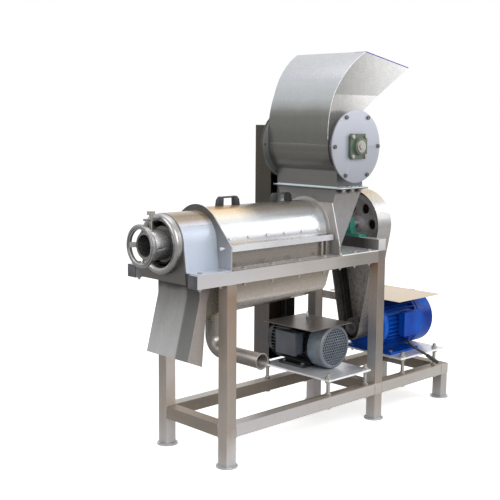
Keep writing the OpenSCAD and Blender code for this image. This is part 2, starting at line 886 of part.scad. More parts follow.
module rear_plate() {
  color("silver") difference() {
    union() {
      extrude_x(rear_x, plate_t) polygon([
        [-rear_half, top_rail_z], [rear_half, top_rail_z], [rear_half, top_rail_z + rear_shoulder],
        [rear_top_half, press_z + rear_top_rise], [-rear_top_half, press_z + rear_top_rise],
        [-rear_half, top_rail_z + rear_shoulder]
      ]);
      rod_x(rear_x - ring_disc_t, ring_disc_t + plate_t, arch_r, 0, press_z);
    }
    rod_x(rear_x - ring_disc_t - over, ring_disc_t + plate_t + 2 * over, hole_r, 0, press_z);
  }
}

cover_x = barrel_x + cover_gap;
cover_len = barrel_len - ring_disc_t - 2 * cover_gap;
skirt_z = press_z - skirt_drop;

function cover_bolt_x(i) = cover_x + (i + 0.5) * cover_len / cover_bolt_n;

module barrel_cover() {
  color("silver") difference() {
    extrude_x(cover_x, cover_len) {
      difference() {
        translate([0, press_z]) circle(cover_r);
        translate([0, press_z]) circle(cover_r - sheet_t);
        translate([-cover_r - over, press_z - cover_r - over]) square([2 * (cover_r + over),
          cover_r + over]);
      }
      for (s = [0, 1]) mirror([s, 0]) {
        translate([cover_r - sheet_t, skirt_z - sheet_t]) square([sheet_t, skirt_drop + sheet_t]);
        translate([cover_r - sheet_t, skirt_z - sheet_t]) square([lip_half - cover_r + sheet_t, sheet_t]);
        translate([lip_half - sheet_t, skirt_z - lip_drop]) square([sheet_t, lip_drop]);
      }
    }
    for (i = [0:cover_bolt_n - 1])
      rod_y(cover_bolt_x(i), -cover_r - over, 2 * (cover_r + over), cover_bolt_r + seat,
        press_z + cover_bolt_rise);
  }
}

// A bent bar handle's side figure, or the space under it
module handle_2d(t) {
  polygon([
    [-handle_span / 2 + t, 0], [-handle_top_span / 2 + t / 2, handle_rise - t],
      [handle_top_span / 2 - t / 2, handle_rise - t],
    [handle_span / 2 - t, 0]
  ]);
}

module cover_handles() {
  color("dimgray") for (share = handle_places_share)
    translate([cover_x + share * cover_len, 0, press_z + cover_r + seat]) {
      extrude_y(-handle_w / 2, handle_w) difference() {
        handle_2d(0);
        translate([0, -over]) handle_2d(handle_w);
      }
      for (s = [-1, 1]) rod_z(s * (handle_span - handle_w) / 2, 0, 0, handle_w / 3, handle_foot_r);
    }
}

module cover_bolts() {
  color("silver") for (i = [0:cover_bolt_n - 1], s = [0, 180])
    translate([cover_bolt_x(i), 0, press_z + cover_bolt_rise]) rotate([90, 0, s])
      translate([0, 0, cover_bolt_y]) hex_bolt(cover_bolt_y - cover_bolt_in, cover_bolt_r);
}

module lower_casing() {
  panel_top = skirt_z - sheet_t - seat;
  color("silver") for (s = [-1, 1]) mirror([0, s < 0 ? 1 : 0, 0]) difference() {
    union() {
      extrude_x(screen_x, screen_len) {
        translate([casing_half - casing_t, top_rail_z]) square([casing_t, panel_top - top_rail_z]);
        translate([casing_half - casing_t, top_rail_z]) square([flange_half - casing_half + casing_t,
          flange_t]);
      }
      for (off = post_xs)
        block([rear_x - off - post_w, casing_half - over, top_rail_z], [rear_x - off,
          casing_half + post_w, panel_top]);
    }
    for (x = rail_bolt_casing)
      rod_z(x, rail_y, top_rail_z - over, flange_t + 2 * over, bolt_hole_r);
  }
}

module juice_screen() {
  color("silver") difference() {
    union() {
      rod_x(screen_x, screen_len, screen_r, 0, press_z);
      for (i = [0:screen_ring_n - 1])
        rod_x(screen_x + i * (screen_len - screen_ring_w) / (screen_ring_n - 1), screen_ring_w,
          screen_r + screen_ring_h, 0, press_z);
    }
    rod_x(screen_x - over, screen_len + 2 * over, screen_r - screen_t, 0, press_z);
  }
}

// Trough and outlet

// The trough's section, with its walls moved in by a thickness
module trough_section(t, depth) {
  polygon([for (p = [[0, 0], trough_crease, trough_knee]) for (s = [1, -1])
    [s * (trough_half - p[0] - t), trough_top_z - p[1]]]);
  translate([0, trough_top_z + trough_flange_t - depth + trough_round + t]) circle(trough_round);
}

// The trough's space, from end to end
module trough_space(t, rise) {
  hull($fn = hull_fn) {
    extrude_x(trough_x + t, thin_t / 4) trough_section(t, trough_depth);
    extrude_x(trough_x + trough_len - t - thin_t / 4, thin_t / 4) trough_section(t,
      trough_depth - trough_rise);
    if (rise > 0)
      block([trough_x + t, -trough_half + t, trough_top_z], [trough_x + trough_len - t, trough_half - t,
        trough_top_z + rise]);
  }
}

module juice_trough() {
  color("silver") difference() {
    union() {
      trough_space(0, 0);
      block([trough_x, -flange_half, trough_top_z], [trough_x + trough_len, flange_half,
        trough_top_z + trough_flange_t]);
      rod_z(outlet_x, outlet_y, spigot_z, spigot_drop + trough_round / 2, pipe_r);
    }
    trough_space(thin_t, trough_flange_t + over);
    rod_z(outlet_x, outlet_y, spigot_z - over, spigot_drop + trough_round, pipe_r - pipe_wall);
    for (x = rail_bolt_casing, side = [-1, 1])
      rod_z(x, side * rail_y, trough_top_z - over, trough_flange_t + 2 * over, bolt_hole_r);
  }
}

// The pipe's run down, round the bend and out to the front
module pipe_run(r, extra) {
  rod_z(outlet_x, outlet_y, pipe_z + pipe_bend, spigot_z - seat - pipe_z - pipe_bend + extra, r);
  translate([outlet_x, outlet_y - pipe_bend, pipe_z + pipe_bend]) rotate([-90, 0, 90])
    rotate_extrude(angle = 90) translate([pipe_bend, 0]) circle(r);
  rod_y(outlet_x, -pipe_reach - extra, pipe_reach + outlet_y - pipe_bend + extra, r, pipe_z);
}

module outlet_pipe() {
  color("silver") difference() {
    union() {
      pipe_run(pipe_r, 0);
      rod_y(outlet_x, -pipe_reach, pipe_end_t, pipe_r + pipe_end_w, pipe_z);
    }
    pipe_run(pipe_r - pipe_wall, over);
  }
}

// Screw and press drive

module press_shaft() {
  color("silver") {
    rod_x(shaft_front_x, arch_x - shaft_front_x + plate_t + core_end_gap + over, shaft_front_r, 0, press_z);
    rod_x(barrel_x + core_end_gap, barrel_len - 2 * core_end_gap, core_r, 0, press_z);
    rod_x(rear_x - core_end_gap - over, mid_left_x - rear_x - 2 * tube_wall, shaft_front_r, 0, press_z);
    rod_x(mid_left_x - tube_w, shaft_end_x - mid_left_x + tube_w, shaft_r, 0, press_z);
  }
}

// The flight winds in growing pitch from the discharge end to the feed end
flight_rings = flight_turns * flight_steps;
function flight_at(i) = let (u = i / flight_rings)
  [(1 - pitch_fall_share) * u + pitch_fall_share * u * u, u * 360 * flight_turns];
flight_pts = [for (i = [0:flight_rings]) let (f = flight_at(i),
  x = flight_x + f[0] * (flight_len - flight_t))
  for (c = [[flight_in_r, 0], [screw_r, 0], [screw_r, flight_t], [flight_in_r, flight_t]])
    [x + c[1], c[0] * cos(f[1]), press_z + c[0] * sin(f[1])]];
flight_faces = concat(
  [[0, 1, 2], [0, 2, 3]],
  [for (i = [0:flight_rings - 1], k = [0:3]) let (a = 4 * i + k, b = 4 * i + (k + 1) % 4) each
    [[a, a + 4, b + 4], [a, b + 4, b]]],
  [[4 * flight_rings, 4 * flight_rings + 2, 4 * flight_rings + 1],
   [4 * flight_rings, 4 * flight_rings + 3, 4 * flight_rings + 2]]
);

module press_flight() color("silver") polyhedron(flight_pts, flight_faces);

// A grooved rim, drawn as radius and distance along the shaft
module rim_2d(r, in_r, width, belts) {
  difference() {
    translate([in_r, 0]) square([r - in_r, width]);
    for (i = [0:belts - 1]) let (mid = (width - (belts - 1) * groove_pitch) / 2 + i * groove_pitch)
      polygon([
        [r - groove_depth, mid - belt_w / 2 - seat], [r - groove_depth, mid + belt_w / 2 + seat],
        [r + over, mid + belt_w / 2 + groove_slope + seat], [r + over,
          mid - belt_w / 2 - groove_slope - seat]
      ]);
  }
}

// Belts of a drive as loops, one in each groove, drawn about two pulleys on an upright line
module loop_2d(z1, r1, z2, r2) {
  hull() {
    translate([0, z1]) circle(r1);
    translate([0, z2]) circle(r2);
  }
}

module belt_loops(z1, r1, z2, r2, width, belts) {
  for (i = [0:belts - 1]) translate([0, 0,
    (width - (belts - 1) * groove_pitch) / 2 + i * groove_pitch - belt_w / 2])
    linear_extrude(belt_w) difference() {
      loop_2d(z1, r1 - seat, z2, r2 - seat);
      loop_2d(z1, r1 - groove_depth + seat, z2, r2 - groove_depth + seat);
    }
}

module press_pulley() {
  hub = hub_share * shaft_r;
  color("rosybrown") difference() {
    union() {
      turn_x(pulley_x) rim_2d(big_pulley_r, big_pulley_r - rim_t, press_pulley_w, press_belt_n);
      rod_x(pulley_x + (press_pulley_w - web_t) / 2, web_t, big_pulley_r - rim_t / 2 - groove_depth / 2,
        0, press_z);
      rod_x(pulley_x, press_pulley_w, hub, 0, press_z);
    }
    rod_x(pulley_x - over, press_pulley_w + 2 * over, shaft_r + run, 0, press_z);
    for (i = [0:pulley_holes - 1]) translate([0, 0, press_z]) rotate([i * 360 / pulley_holes, 0, 0])
      rod_x(pulley_x, press_pulley_w, pulley_hole_share * big_pulley_r,
        pulley_hole_place_share * big_pulley_r, 0);
  }
}

module press_bearing() {
  rise = press_z - bearing_z;
  color("seagreen") difference() {
    union() {
      block([mid_leg_x - bearing_base_w / 2, -bearing_half, beam_top_z], [mid_leg_x + bearing_base_w / 2,
        bearing_half, bearing_z]);
      extrude_x(mid_leg_x - bearing_body_w / 2, bearing_body_w) polygon([
        [-bearing_body_r * 1.25, bearing_z - over], [bearing_body_r * 1.25, bearing_z - over],
        [bearing_body_r, bearing_z + rise / 2], [bearing_body_r, press_z], [-bearing_body_r, press_z],
        [-bearing_body_r, bearing_z + rise / 2]
      ]);
      rod_x(mid_leg_x - bearing_body_w / 2, bearing_body_w, bearing_body_r, 0, press_z);
      rod_x(mid_leg_x - bearing_base_w / 2, bearing_base_w, bearing_body_r * 0.75, 0, press_z);
      rod_z(mid_leg_x, 0, press_z + bearing_body_r - over, over * 3, bolt_r);
    }
    rod_x(mid_leg_x - bearing_base_w, 2 * bearing_base_w, shaft_r + run, 0, press_z);
    for (side = [-1, 1]) rod_z(mid_leg_x, side * bearing_bolt_y, beam_top_z - over,
      bearing_base_t + 2 * over, bolt_hole_r);
  }
}

module press_belts() {
  color("dimgray") translate([pulley_x, 0, 0]) rotate([90, 0, 90])
    belt_loops(press_z, big_pulley_r, press_motor_z, small_pulley_r, press_pulley_w, press_belt_n);
}

module press_guard() {
  z2 = press_motor_z;
  slope = (guard_top_r - guard_low_r) / (press_z - z2);
  wall_at = guard_low_r + (guard_bar_z - z2) * slope;
  color("silver") difference() {
    union() {
      extrude_x(guard_x, guard_depth + sheet_t) slot_2d(press_z, guard_top_r, z2, guard_low_r);
      block([mid_right_x, wall_at - sheet_t, guard_bar_z], [mid_right_x + plate_t, rail_y + tube_w / 4,
        guard_bar_z + guard_bar_h]);
      block([mid_right_x, wall_at - sheet_t, guard_bar_z], [guard_x + tube_w / 2, wall_at + plate_t * 1.4,
        guard_bar_z + guard_bar_h]);
      for (s = [-1, 1]) mirror([0, s < 0 ? 1 : 0, 0])
        block([mid_right_x, guard_top_r * 0.7, beam_top_z - guard_tab_h - tube_wall], [guard_x + plate_t,
          guard_tab_half, beam_top_z - tube_wall]);
    }
    extrude_x(guard_x, guard_depth) slot_2d(press_z, guard_top_r - sheet_t, z2, guard_low_r - sheet_t);
    extrude_x(mid_right_x - over, guard_x - mid_right_x + over * 2)
      slot_2d(press_z, guard_top_r - plate_t * 3, z2, guard_low_r - sheet_t);
    rod_x(guard_x, 2 * guard_depth, guard_shaft_r, 0, z2);
  }
}

// Motors, drawn with the shaft's shoulder at the origin, the body along +Z, up along +Y and the box towards -X

foot_pad_t = 12;
foot_bolt_in = 18;
fin_n = 40;
fin_t = 3.5;
motor_core_share = 0.86;
motor_bell_share = 0.34;
cowl_lap = 8;
cowl_slots = 5;
cowl_bars = 6;
cowl_open_share = 0.83;
press_foot_x = press_motor_x + press_foot_at + press_foot_len / 2;
crusher_foot_y = crusher_motor_y - crusher_foot_at - crusher_foot_len / 2;

module motor_body(r, len, cowl_len, h, foot_half, foot_at, foot_len, shaft, box, box_at, box_up,
  box_reach) {
  core = motor_core_share * r;
  bell = motor_bell_share * r;
  body = len - cowl_len;
  foot_w = foot_half - core * 0.42;
  difference() {
    union() {
      translate([0, 0, bell * 0.3]) cylinder(h = body - bell * 0.3, r = core);
      cylinder(h = bell * 0.25, r = r * 0.45);
      translate([0, 0, bell * 0.12]) cylinder(h = bell * 0.25, r = r * 0.8);
      translate([0, 0, bell * 0.3]) cylinder(h = bell * 0.7, r = r * 0.97);
      translate([0, 0, body - bell * 0.4]) cylinder(h = bell * 0.4 + cowl_lap, r = r - sheet_t - seat);
      translate([0, 0, bell]) linear_extrude(body - bell * 1.4) for (i = [0:fin_n - 1])
        rotate(i * 360 / fin_n) translate([0, -fin_t / 2]) square([r, fin_t]);
      for (s = [-1, 1]) {
        translate([s > 0 ? foot_half - foot_w : -foot_half, -h, foot_at]) cube([foot_w, foot_pad_t,
          foot_len]);
        translate([s > 0 ? core * 0.42 : -core * 0.42 - foot_pad_t, -h, foot_at])
          cube([foot_pad_t, h - core * 0.6, foot_len]);
      }
      translate([-r * 0.14, 0, len * 0.3]) cube([r * 0.28, r + over, r * 0.5]);
      translate([-box_reach, box_up - box[2] * 0.4, box_at + box[0] * 0.1]) cube([box_reach, box[2] * 0.8,
        box[0] * 0.8]);
    }
    translate([0, 0, -over]) cylinder(h = bell * 2, r = shaft + run);
    for (sx = [-1, 1], z = [foot_bolt_in, foot_len - foot_bolt_in])
      translate([sx * (foot_half - foot_bolt_in), -h - over, foot_at + z]) rotate([-90, 0, 0])
        cylinder(h = foot_pad_t + 2 * over, r = bolt_hole_r);
  }
}

// A fan cowl with ring slots in its end, on the body's far end
module motor_cowl(r, len, cowl_len) {
  open_r = cowl_open_share * r;
  pitch = open_r * 0.86 / cowl_slots;
  difference() {
    translate([0, 0, len - cowl_len + seat]) cylinder(h = cowl_len - seat, r = r);
    translate([0, 0, len - cowl_len - over]) cylinder(h = cowl_len + over - sheet_t, r = r - sheet_t);
    translate([0, 0, len - sheet_t - over]) linear_extrude(sheet_t + 2 * over) difference() {
      for (i = [0:cowl_slots - 1]) difference() {
        circle(open_r - i * pitch);
        circle(open_r - (i + 0.6) * pitch);
      }
      for (a = [0:cowl_bars - 1]) rotate(a * 360 / cowl_bars) translate([0, -sheet_t]) square([r,
        2 * sheet_t]);
    }
  }
}

// A terminal box with a lid that stands out over its sides
module motor_box(box, box_at, box_up, box_reach) {
  lid = box[1] * 0.24;
  translate([-box_reach - box[1] + lid, box_up - box[2] / 2 + lid / 3, box_at + lid / 3])
    cube([box[1] - lid - seat, box[2] - lid * 2 / 3, box[0] - lid * 2 / 3]);
  translate([-box_reach - box[1], box_up - box[2] / 2, box_at]) cube([lid, box[2], box[0]]);
}

module motor_rotor(shaft, out, bell) translate([0, 0, -out]) cylinder(h = out + bell, r = shaft);

module at_press_motor() translate([press_motor_x, 0, press_motor_z]) rotate([90, 0, 90]) children();

module at_crusher_motor() translate([crusher_x, crusher_motor_y, crusher_motor_z]) rotate([90, 0,
  0]) children();

press_box_reach = press_motor_r;
crusher_box_reach = crusher_motor_r + box_neck;

module press_motor_body() {
  color("royalblue") at_press_motor() motor_body(
    press_motor_r, press_motor_len, press_cowl_len, press_motor_h, press_foot_half, press_foot_at,
    press_foot_len, press_motor_shaft_r, press_box, press_box_at, press_box_up, press_box_reach
  );
}

module press_motor_cowl() color("royalblue") at_press_motor() motor_cowl(press_motor_r, press_motor_len,
  press_cowl_len);

module press_motor_box() {
  color("royalblue") at_press_motor() {
    motor_box(press_box, press_box_at, press_box_up, press_box_reach);
    translate([-press_box_reach - press_box[1] / 2 + seat, press_box_up - press_box[2] / 2,
      press_box_at + press_box[0] * gland_share])
      rotate([90, 0, 0]) cylinder(h = gland_len, r1 = gland_r, r2 = gland_tip_r);
  }
}

module press_motor_rotor() {
  color("silver") at_press_motor()
    motor_rotor(press_motor_shaft_r, press_motor_x - pulley_x + tube_w / 5,
      motor_bell_share * press_motor_r);
}

module press_motor_pulley() {
  hub = small_pulley_r * 0.7;
  color("gray") translate([pulley_x, 0, press_motor_z]) rotate([0, 90, 0]) difference() {
    union() {
      rotate_extrude() rim_2d(small_pulley_r, press_motor_shaft_r, press_pulley_w, press_belt_n);
      translate([0, 0, -tube_w / 3]) cylinder(h = tube_w / 3 + over, r = hub);
    }
    translate([0, 0, -tube_w]) cylinder(h = tube_w * 3, r = press_motor_shaft_r + run);
  }
}

// A motor plate on its studs, with the holes of the motor's feet
module motor_plate(x0, x1, up, stud_x, bolt_x, bolt_y) {
  z = low_top_z + up;
  difference() {
    block([x0, -plate_half, z], [x1, plate_half, z + motor_plate_t]);
    for (x = stud_x, side = [-1, 1]) rod_z(x, side * rail_y, z - over, motor_plate_t + 2 * over,
      stud_r + seat);
    for (x = bolt_x, y = bolt_y) rod_z(x, y, z - over, motor_plate_t + 2 * over, bolt_hole_r);
  }
}

module press_motor_plate() {
  color("gainsboro") motor_plate(
    press_motor_x + press_plate_in, press_motor_x + press_plate_in + press_plate_len, press_plate_up,
    [for (x = press_stud_xs) press_motor_x + x],
    [for (s = [-1, 1]) press_foot_x + s * (press_foot_len / 2 - foot_bolt_in)],
    [for (s = [-1, 1]) s * (press_foot_half - foot_bolt_in)]
  );
}

module press_motor_cover() {
  z = press_motor_z + press_motor_r + over + seat;
  x = guard_x + guard_depth + sheet_t + free;
  color("gainsboro") {
    block([x, -press_cover_half, z + press_cover_gap], [x + press_cover_len, press_cover_half,
      z + press_cover_gap + thin_t]);
    rod_z(press_motor_x + press_motor_len * 0.3 + press_motor_r * 0.25, 0, z, press_cover_gap + over / 2,
      spacer_r);
  }
}

function lead_dir(i) = let (a = lead_points[max(i - 1, 0)], b = lead_points[min(i + 1,
  len(lead_points) - 1)]) (b - a) / norm(b - a);
function lead_side(d) = cross(d, [0, 0, 1]) / norm(cross(d, [0, 0, 1]));
function lead_frame(i) = let (d = lead_dir(i), s = lead_side(d)) [lead_points[i], s, cross(s, d)];
lead_frames = concat(
  [[lead_points[0], [-1, 0, 0], [0, -1, 0]]],
  [for (i = [1:len(lead_points) - 1]) lead_frame(i)]
);

module power_lead() {
  n = len(lead_points);
  m = lead_sides;
  color("dimgray") polyhedron(
    [for (f = lead_frames,
      k = [0:m - 1]) f[0] + lead_r * (cos(k * 360 / m) * f[1] + sin(k * 360 / m) * f[2])],
    concat(
      [[for (k = [0:m - 1]) k]],
      [for (i = [0:n - 2], k = [0:m - 1]) let (a = i * m + k, b = i * m + (k + 1) % m) each [[a, a + m,
        b + m], [a, b + m, b]]],
      [[for (k = [m - 1:-1:0]) (n - 1) * m + k]]
    )
  );
}

module lead_sleeve() {
  p = lead_points[len(lead_points) - 1];
  d = lead_dir(len(lead_points) - 1);
  color("dimgray") rod(p, p + lead_sleeve_len * d, lead_sleeve_r);
}

// Crusher

module feed_space(t, extra) {
  hull() {
    block([neck_x + t, crusher_y + t, neck_z - flange_t - thin_t], [neck_x + neck_len - t,
      crusher_back_y - t, neck_z + extra]);
    extrude_x(deck_x + (extra > 0 ? -over : 0), extra > 0 ? over * 2 : thin_t) polygon([
      [-feed_foot_half + t, flange_top_z + seat + t], [feed_foot_half - t, flange_top_z + seat + t],
      [feed_wide - t, top_rail_z + feed_wide_rise], [feed_top_half - t, top_rail_z + feed_top_rise - t],
      [-feed_top_half + t, top_rail_z + feed_top_rise - t], [-feed_wide + t, top_rail_z + feed_wide_rise]
    ]);
  }
}

module neck_flange(z) {
  block([neck_x - neck_flange_x, crusher_y - neck_flange_y, z],
    [neck_x + neck_len + neck_flange_x, crusher_back_y + neck_flange_back, z + flange_t]);
}

function neck_bolt_y(side) = side < 0 ? crusher_y - neck_flange_y / 2 : crusher_back_y + neck_flange_back / 2 + seat;

module neck_bolt_holes(z) {
  for (i = [0:neck_bolt_n - 1], side = [-1, 1])
    rod_z(neck_x + (i + 0.5) * neck_len / neck_bolt_n, neck_bolt_y(side), z - over, flange_t + 2 * over,
      bolt_hole_r);
}

module feed_chute() {
  color("lightsteelblue") difference() {
    union() {
      feed_space(0, 0);
      neck_flange(neck_z - flange_t);
      rod_x(collar_x, collar_len, collar_r, 0, press_z);
    }
    difference() {
      feed_space(feed_t, over);
      rod_x(collar_x, collar_len, collar_r, 0, press_z);
    }
    rod_x(collar_x - collar_len, 3 * collar_len, shaft_front_r + free, 0, press_z);
    neck_bolt_holes(neck_z - flange_t);
  }
}

// The hopper's side figure, with its walls moved in by a thickness
module hopper_2d(t) {
  arc_x = hopper_back_x + hopper_arc_r;
  tip = [crusher_x + hopper_reach, crusher_z + hopper_tip_h];
  mouth = [crusher_x + hopper_mouth_x, crusher_z + hopper_back_h];
  front = [crusher_x + hopper_front[0], crusher_z + hopper_front[1]];
  slope = (tip[1] - mouth[1]) / (tip[0] - mouth[0]);
  lip = t > 0 ? over : 0;
  left = hopper_back_x - over;
  intersection() {
    union() {
      translate([arc_x, hopper_bend_z]) circle(hopper_arc_r - t);
      translate([hopper_back_x + t, crusher_z]) square([hopper_arc_r, hopper_bend_z - crusher_z]);
    }
    polygon([
      [left, crusher_z], [left, mouth[1] + slope * (left - mouth[0]) + lip], [tip[0] + lip, tip[1] + lip],
      [tip[0] - t * 1.7 + lip, tip[1] - lip * 0.1], [front[0], front[1] + t * 1.25],
      [front[0], crusher_z]
    ]);
  }
}

// The hopper's front figure, straight below and flared above
module hopper_front_2d(t) {
  a = crusher_y + t;
  b = crusher_back_y - t;
  flare_z = crusher_z + hopper_flare_z;
  rim_z = crusher_z + hopper_rim_z;
  polygon([
    [a, crusher_z - over], [b, crusher_z - over], [b, flare_z], [b + hopper_flare, rim_z],
    [b + hopper_flare, rim_z + drum_r], [a - hopper_flare, rim_z + drum_r], [a - hopper_flare, rim_z], [a,
      flare_z]
  ]);
}

module hopper_space(t) {
  intersection() {
    extrude_y(crusher_y - drum_r, crusher_w + 2 * drum_r) hopper_2d(t);
    extrude_x(hopper_back_x - drum_r, hopper_reach + 3 * drum_r) hopper_front_2d(t);
  }
}

module hopper() {
  color("silver") difference() {
    hopper_space(0);
    hopper_space(thin_t);
    rod_y(crusher_x, crusher_y - drum_r, crusher_w + 2 * drum_r, drum_r + seat, crusher_z);
  }
}

module crusher_housing() {
  inner_y = crusher_y + drum_t;
  inner_w = crusher_w - 2 * drum_t;
  color("silver") difference() {
    union() {
      rod_y(crusher_x, crusher_y, crusher_w, drum_r, crusher_z);
      rod_y(crusher_x, ring_front_y, front_tube_len + ring_t + over, front_tube_r, crusher_z);
      rod_y(crusher_x, ring_front_y, ring_t, disc_r - over, crusher_z);
      rod_y(crusher_x, crusher_back_y, ring_t, disc_r - over, crusher_z);
      block([neck_x, crusher_y, neck_z], [neck_x + neck_len, crusher_back_y, crusher_z]);
      neck_flange(neck_z);
    }
    rod_y(crusher_x, inner_y, inner_w + drum_t + ring_t + over, drum_r - drum_t, crusher_z);
    rod_y(crusher_x, ring_front_y - over, crusher_w, front_tube_r - drum_t, crusher_z);
    block([neck_x + drum_t, inner_y, neck_z - over], [neck_x + neck_len - drum_t, inner_y + inner_w,
      crusher_z]);
    intersection() {
      hopper_space(thin_t);
      block([hopper_back_x, inner_y, crusher_z], [crusher_x + drum_r, inner_y + inner_w,
        crusher_z + drum_r + over]);
    }
    neck_bolt_holes(neck_z);
    disc_holes();
  }
}

// Places its children on bolt i of the discs, at Y 0
module on_disc(i) {
  translate([crusher_x, 0, crusher_z]) rotate([0, -i * 360 / disc_bolts, 0])
    translate([disc_r - disc_bolt_in, 0, 0]) children();
}

module disc_holes() {
  for (i = [0:disc_bolts - 1], y = [disc_y - over, crusher_back_y - free])
    on_disc(i) rod_y(0, y, disc_t + ring_t + 2 * over, bolt_hole_r, 0);
}

module crusher_covers() {
  color("silver") difference() {
    union() {
      rod_y(crusher_x, disc_y, disc_t, disc_r, crusher_z);
      rod_y(crusher_x, back_disc_y, disc_t, disc_r, crusher_z);
    }
    rod_y(crusher_x, disc_y - over, crusher_w * 2, crusher_shaft_r + free, crusher_z);
    disc_holes();
  }
  color("silver") for (i = [0:disc_bolts - 1]) on_disc(i) {
    translate([0, disc_y, 0]) rotate([90, 0, 0]) hex_bolt(disc_t + ring_t, bolt_r);
    translate([0, back_disc_y + disc_t, 0]) rotate([-90, 0, 0]) hex_screw(disc_t + ring_t, bolt_r);
  }
}

// A square flange bearing on the face at y, facing along -Y or +Y
module flange_bearing(y, dir) {
  half = flange_bearing_w / 2;
  bolt = bearing_bolt_share * half;
  color("slategray") translate([crusher_x, y, crusher_z]) rotate([dir < 0 ? 90 : -90, 0, 0]) difference() {
    union() {
      linear_extrude(flange_bearing_t) intersection() {
        square(2 * half, center = true);
        rotate(45) square(2 * half * 1.26, center = true);
      }
      cylinder(h = bearing_hub_len, r = bearing_hub_r);
      cylinder(h = bearing_cap_len, r = bearing_cap_r);
      for (a = [45:90:315]) rotate(a) translate([bolt * sqrt(2), 0, 0])
        cylinder(h = flange_bearing_t + head_h, r = head_r, $fn = 6);
    }
    translate([0, 0, -over]) cylinder(h = bearing_cap_len + 2 * over, r = crusher_shaft_r + run);
  }
}

module crusher_bearings() {
  flange_bearing(disc_y, -1);
  flange_bearing(back_disc_y + disc_t, 1);
}

module knife_2d() {
  circle(rotor_r + over);
  for (i = [0:knife_teeth - 1]) rotate(i * 360 / knife_teeth)
    polygon([[0, 0], [rotor_r, -rotor_r * knife_tooth_share], [knife_r, 0], [rotor_r,
      rotor_r * knife_tooth_share]]);
}

module crusher_rotor() {
  y = crusher_y + drum_t + rotor_gap;
  len = crusher_w - 2 * (drum_t + rotor_gap);
  end_y = disc_y - bearing_cap_len - rotor_gap / 2;
  color("silver") {
    rod_y(crusher_x, end_y, crusher_pulley_y + crusher_pulley_w - end_y, crusher_shaft_r, crusher_z);
    rod_y(crusher_x, y, len, rotor_r, crusher_z);
    for (i = [0:knife_rows - 1])
      extrude_y(y + (i + 0.5) * len / knife_rows - knife_t / 2, knife_t)
        translate([crusher_x, crusher_z]) rotate(i * 360 / knife_teeth / 3) knife_2d();
  }
}

module y_pulley(r, shaft, z) {
  translate([crusher_x, crusher_pulley_y, z]) rotate([-90, 0, 0]) difference() {
    rotate_extrude() rim_2d(r, shaft, crusher_pulley_w, crusher_belt_n);
    translate([0, 0, -over]) cylinder(h = crusher_pulley_w + 2 * over, r = shaft + run);
  }
}

module crusher_pulley() color("gray") y_pulley(crusher_pulley_r, crusher_shaft_r, crusher_z);

module crusher_motor_pulley() color("gray") y_pulley(crusher_motor_pulley_r, crusher_motor_shaft_r,
  crusher_motor_z);

module crusher_belts() {
  color("dimgray") translate([crusher_x, crusher_pulley_y + crusher_pulley_w, 0]) rotate([90, 0, 0])
    belt_loops(crusher_z, crusher_pulley_r, crusher_motor_z, crusher_motor_pulley_r, crusher_pulley_w,
      crusher_belt_n);
}

module guard_2d(half, low) {
  translate([crusher_x - half, low]) square([2 * half, crusher_z + half - low]);
}

module crusher_guard() {
  low = crusher_motor_z - crusher_guard_low;
  face_y = frame_w / 2;
  color("silver") {
    difference() {
      extrude_y(crusher_guard_y, crusher_guard_depth) guard_2d(crusher_guard_half, low);
      extrude_y(crusher_guard_y - over, crusher_guard_depth - sheet_t + over)
        guard_2d(crusher_guard_half - sheet_t, low + sheet_t);
    }
    for (x = [crusher_x - crusher_guard_half, crusher_x + crusher_guard_half - sheet_t])
      block([x, face_y, top_rail_z - guard_ear_z - plate_t], [x + sheet_t, crusher_guard_y + over,
        top_rail_z - plate_t]);
  }
}

// Crusher motor

module crusher_motor_body() {
  color("slategray") at_crusher_motor() motor_body(
    crusher_motor_r, crusher_motor_len, crusher_cowl_len, crusher_motor_h, crusher_foot_half,
      crusher_foot_at,
    crusher_foot_len, crusher_motor_shaft_r, crusher_box, crusher_box_at, crusher_box_up, crusher_box_reach
  );
}

module crusher_motor_cowl() {
  color("slategray") at_crusher_motor() motor_cowl(crusher_motor_r, crusher_motor_len, crusher_cowl_len);
}

module crusher_motor_box() {
  color("slategray") at_crusher_motor() motor_box(crusher_box, crusher_box_at, crusher_box_up,
    crusher_box_reach);
}

module crusher_motor_rotor() {
  color("silver") at_crusher_motor()
    motor_rotor(crusher_motor_shaft_r, crusher_pulley_y + crusher_pulley_w - crusher_motor_y,
      motor_bell_share * crusher_motor_r);
}

module crusher_motor_plate() {
  color("gainsboro") motor_plate(
    crusher_x - crusher_plate_left, crusher_x + crusher_plate_right, crusher_plate_up,
    [for (x = crusher_stud_xs) crusher_x + x],
    [for (s = [-1, 1]) crusher_x + s * (crusher_foot_half - foot_bolt_in)],
    [for (s = [-1, 1]) crusher_foot_y + s * (crusher_foot_len / 2 - foot_bolt_in)]
  );
}

module crusher_motor_cover() {
  z = crusher_motor_z + crusher_motor_r + over + seat;
  sheet_z = z + crusher_cover_gap;
  color("gainsboro") {
    block([crusher_x + crusher_cover_x[0], crusher_cover_y[0], sheet_z], [crusher_x + crusher_cover_x[1],
      crusher_cover_y[1], sheet_z + thin_t]);
    rod_z(crusher_x, crusher_motor_y - crusher_motor_len * 0.3 - crusher_motor_r * 0.25, z,
      crusher_cover_gap + over / 2, spacer_r);
    translate([crusher_x + eye_off, eye_y, sheet_z + thin_t + eye_r + 2 * eye_rod_r]) {
      rotate([90, 0, 45]) rotate_extrude() translate([eye_r, 0]) circle(eye_rod_r, $fn = hull_fn);
      translate([0, 0, -eye_r - 2 * eye_rod_r - over / 2]) cylinder(h = 2 * eye_rod_r + over / 2,
        r = eye_rod_r * 1.4);
    }
  }
}

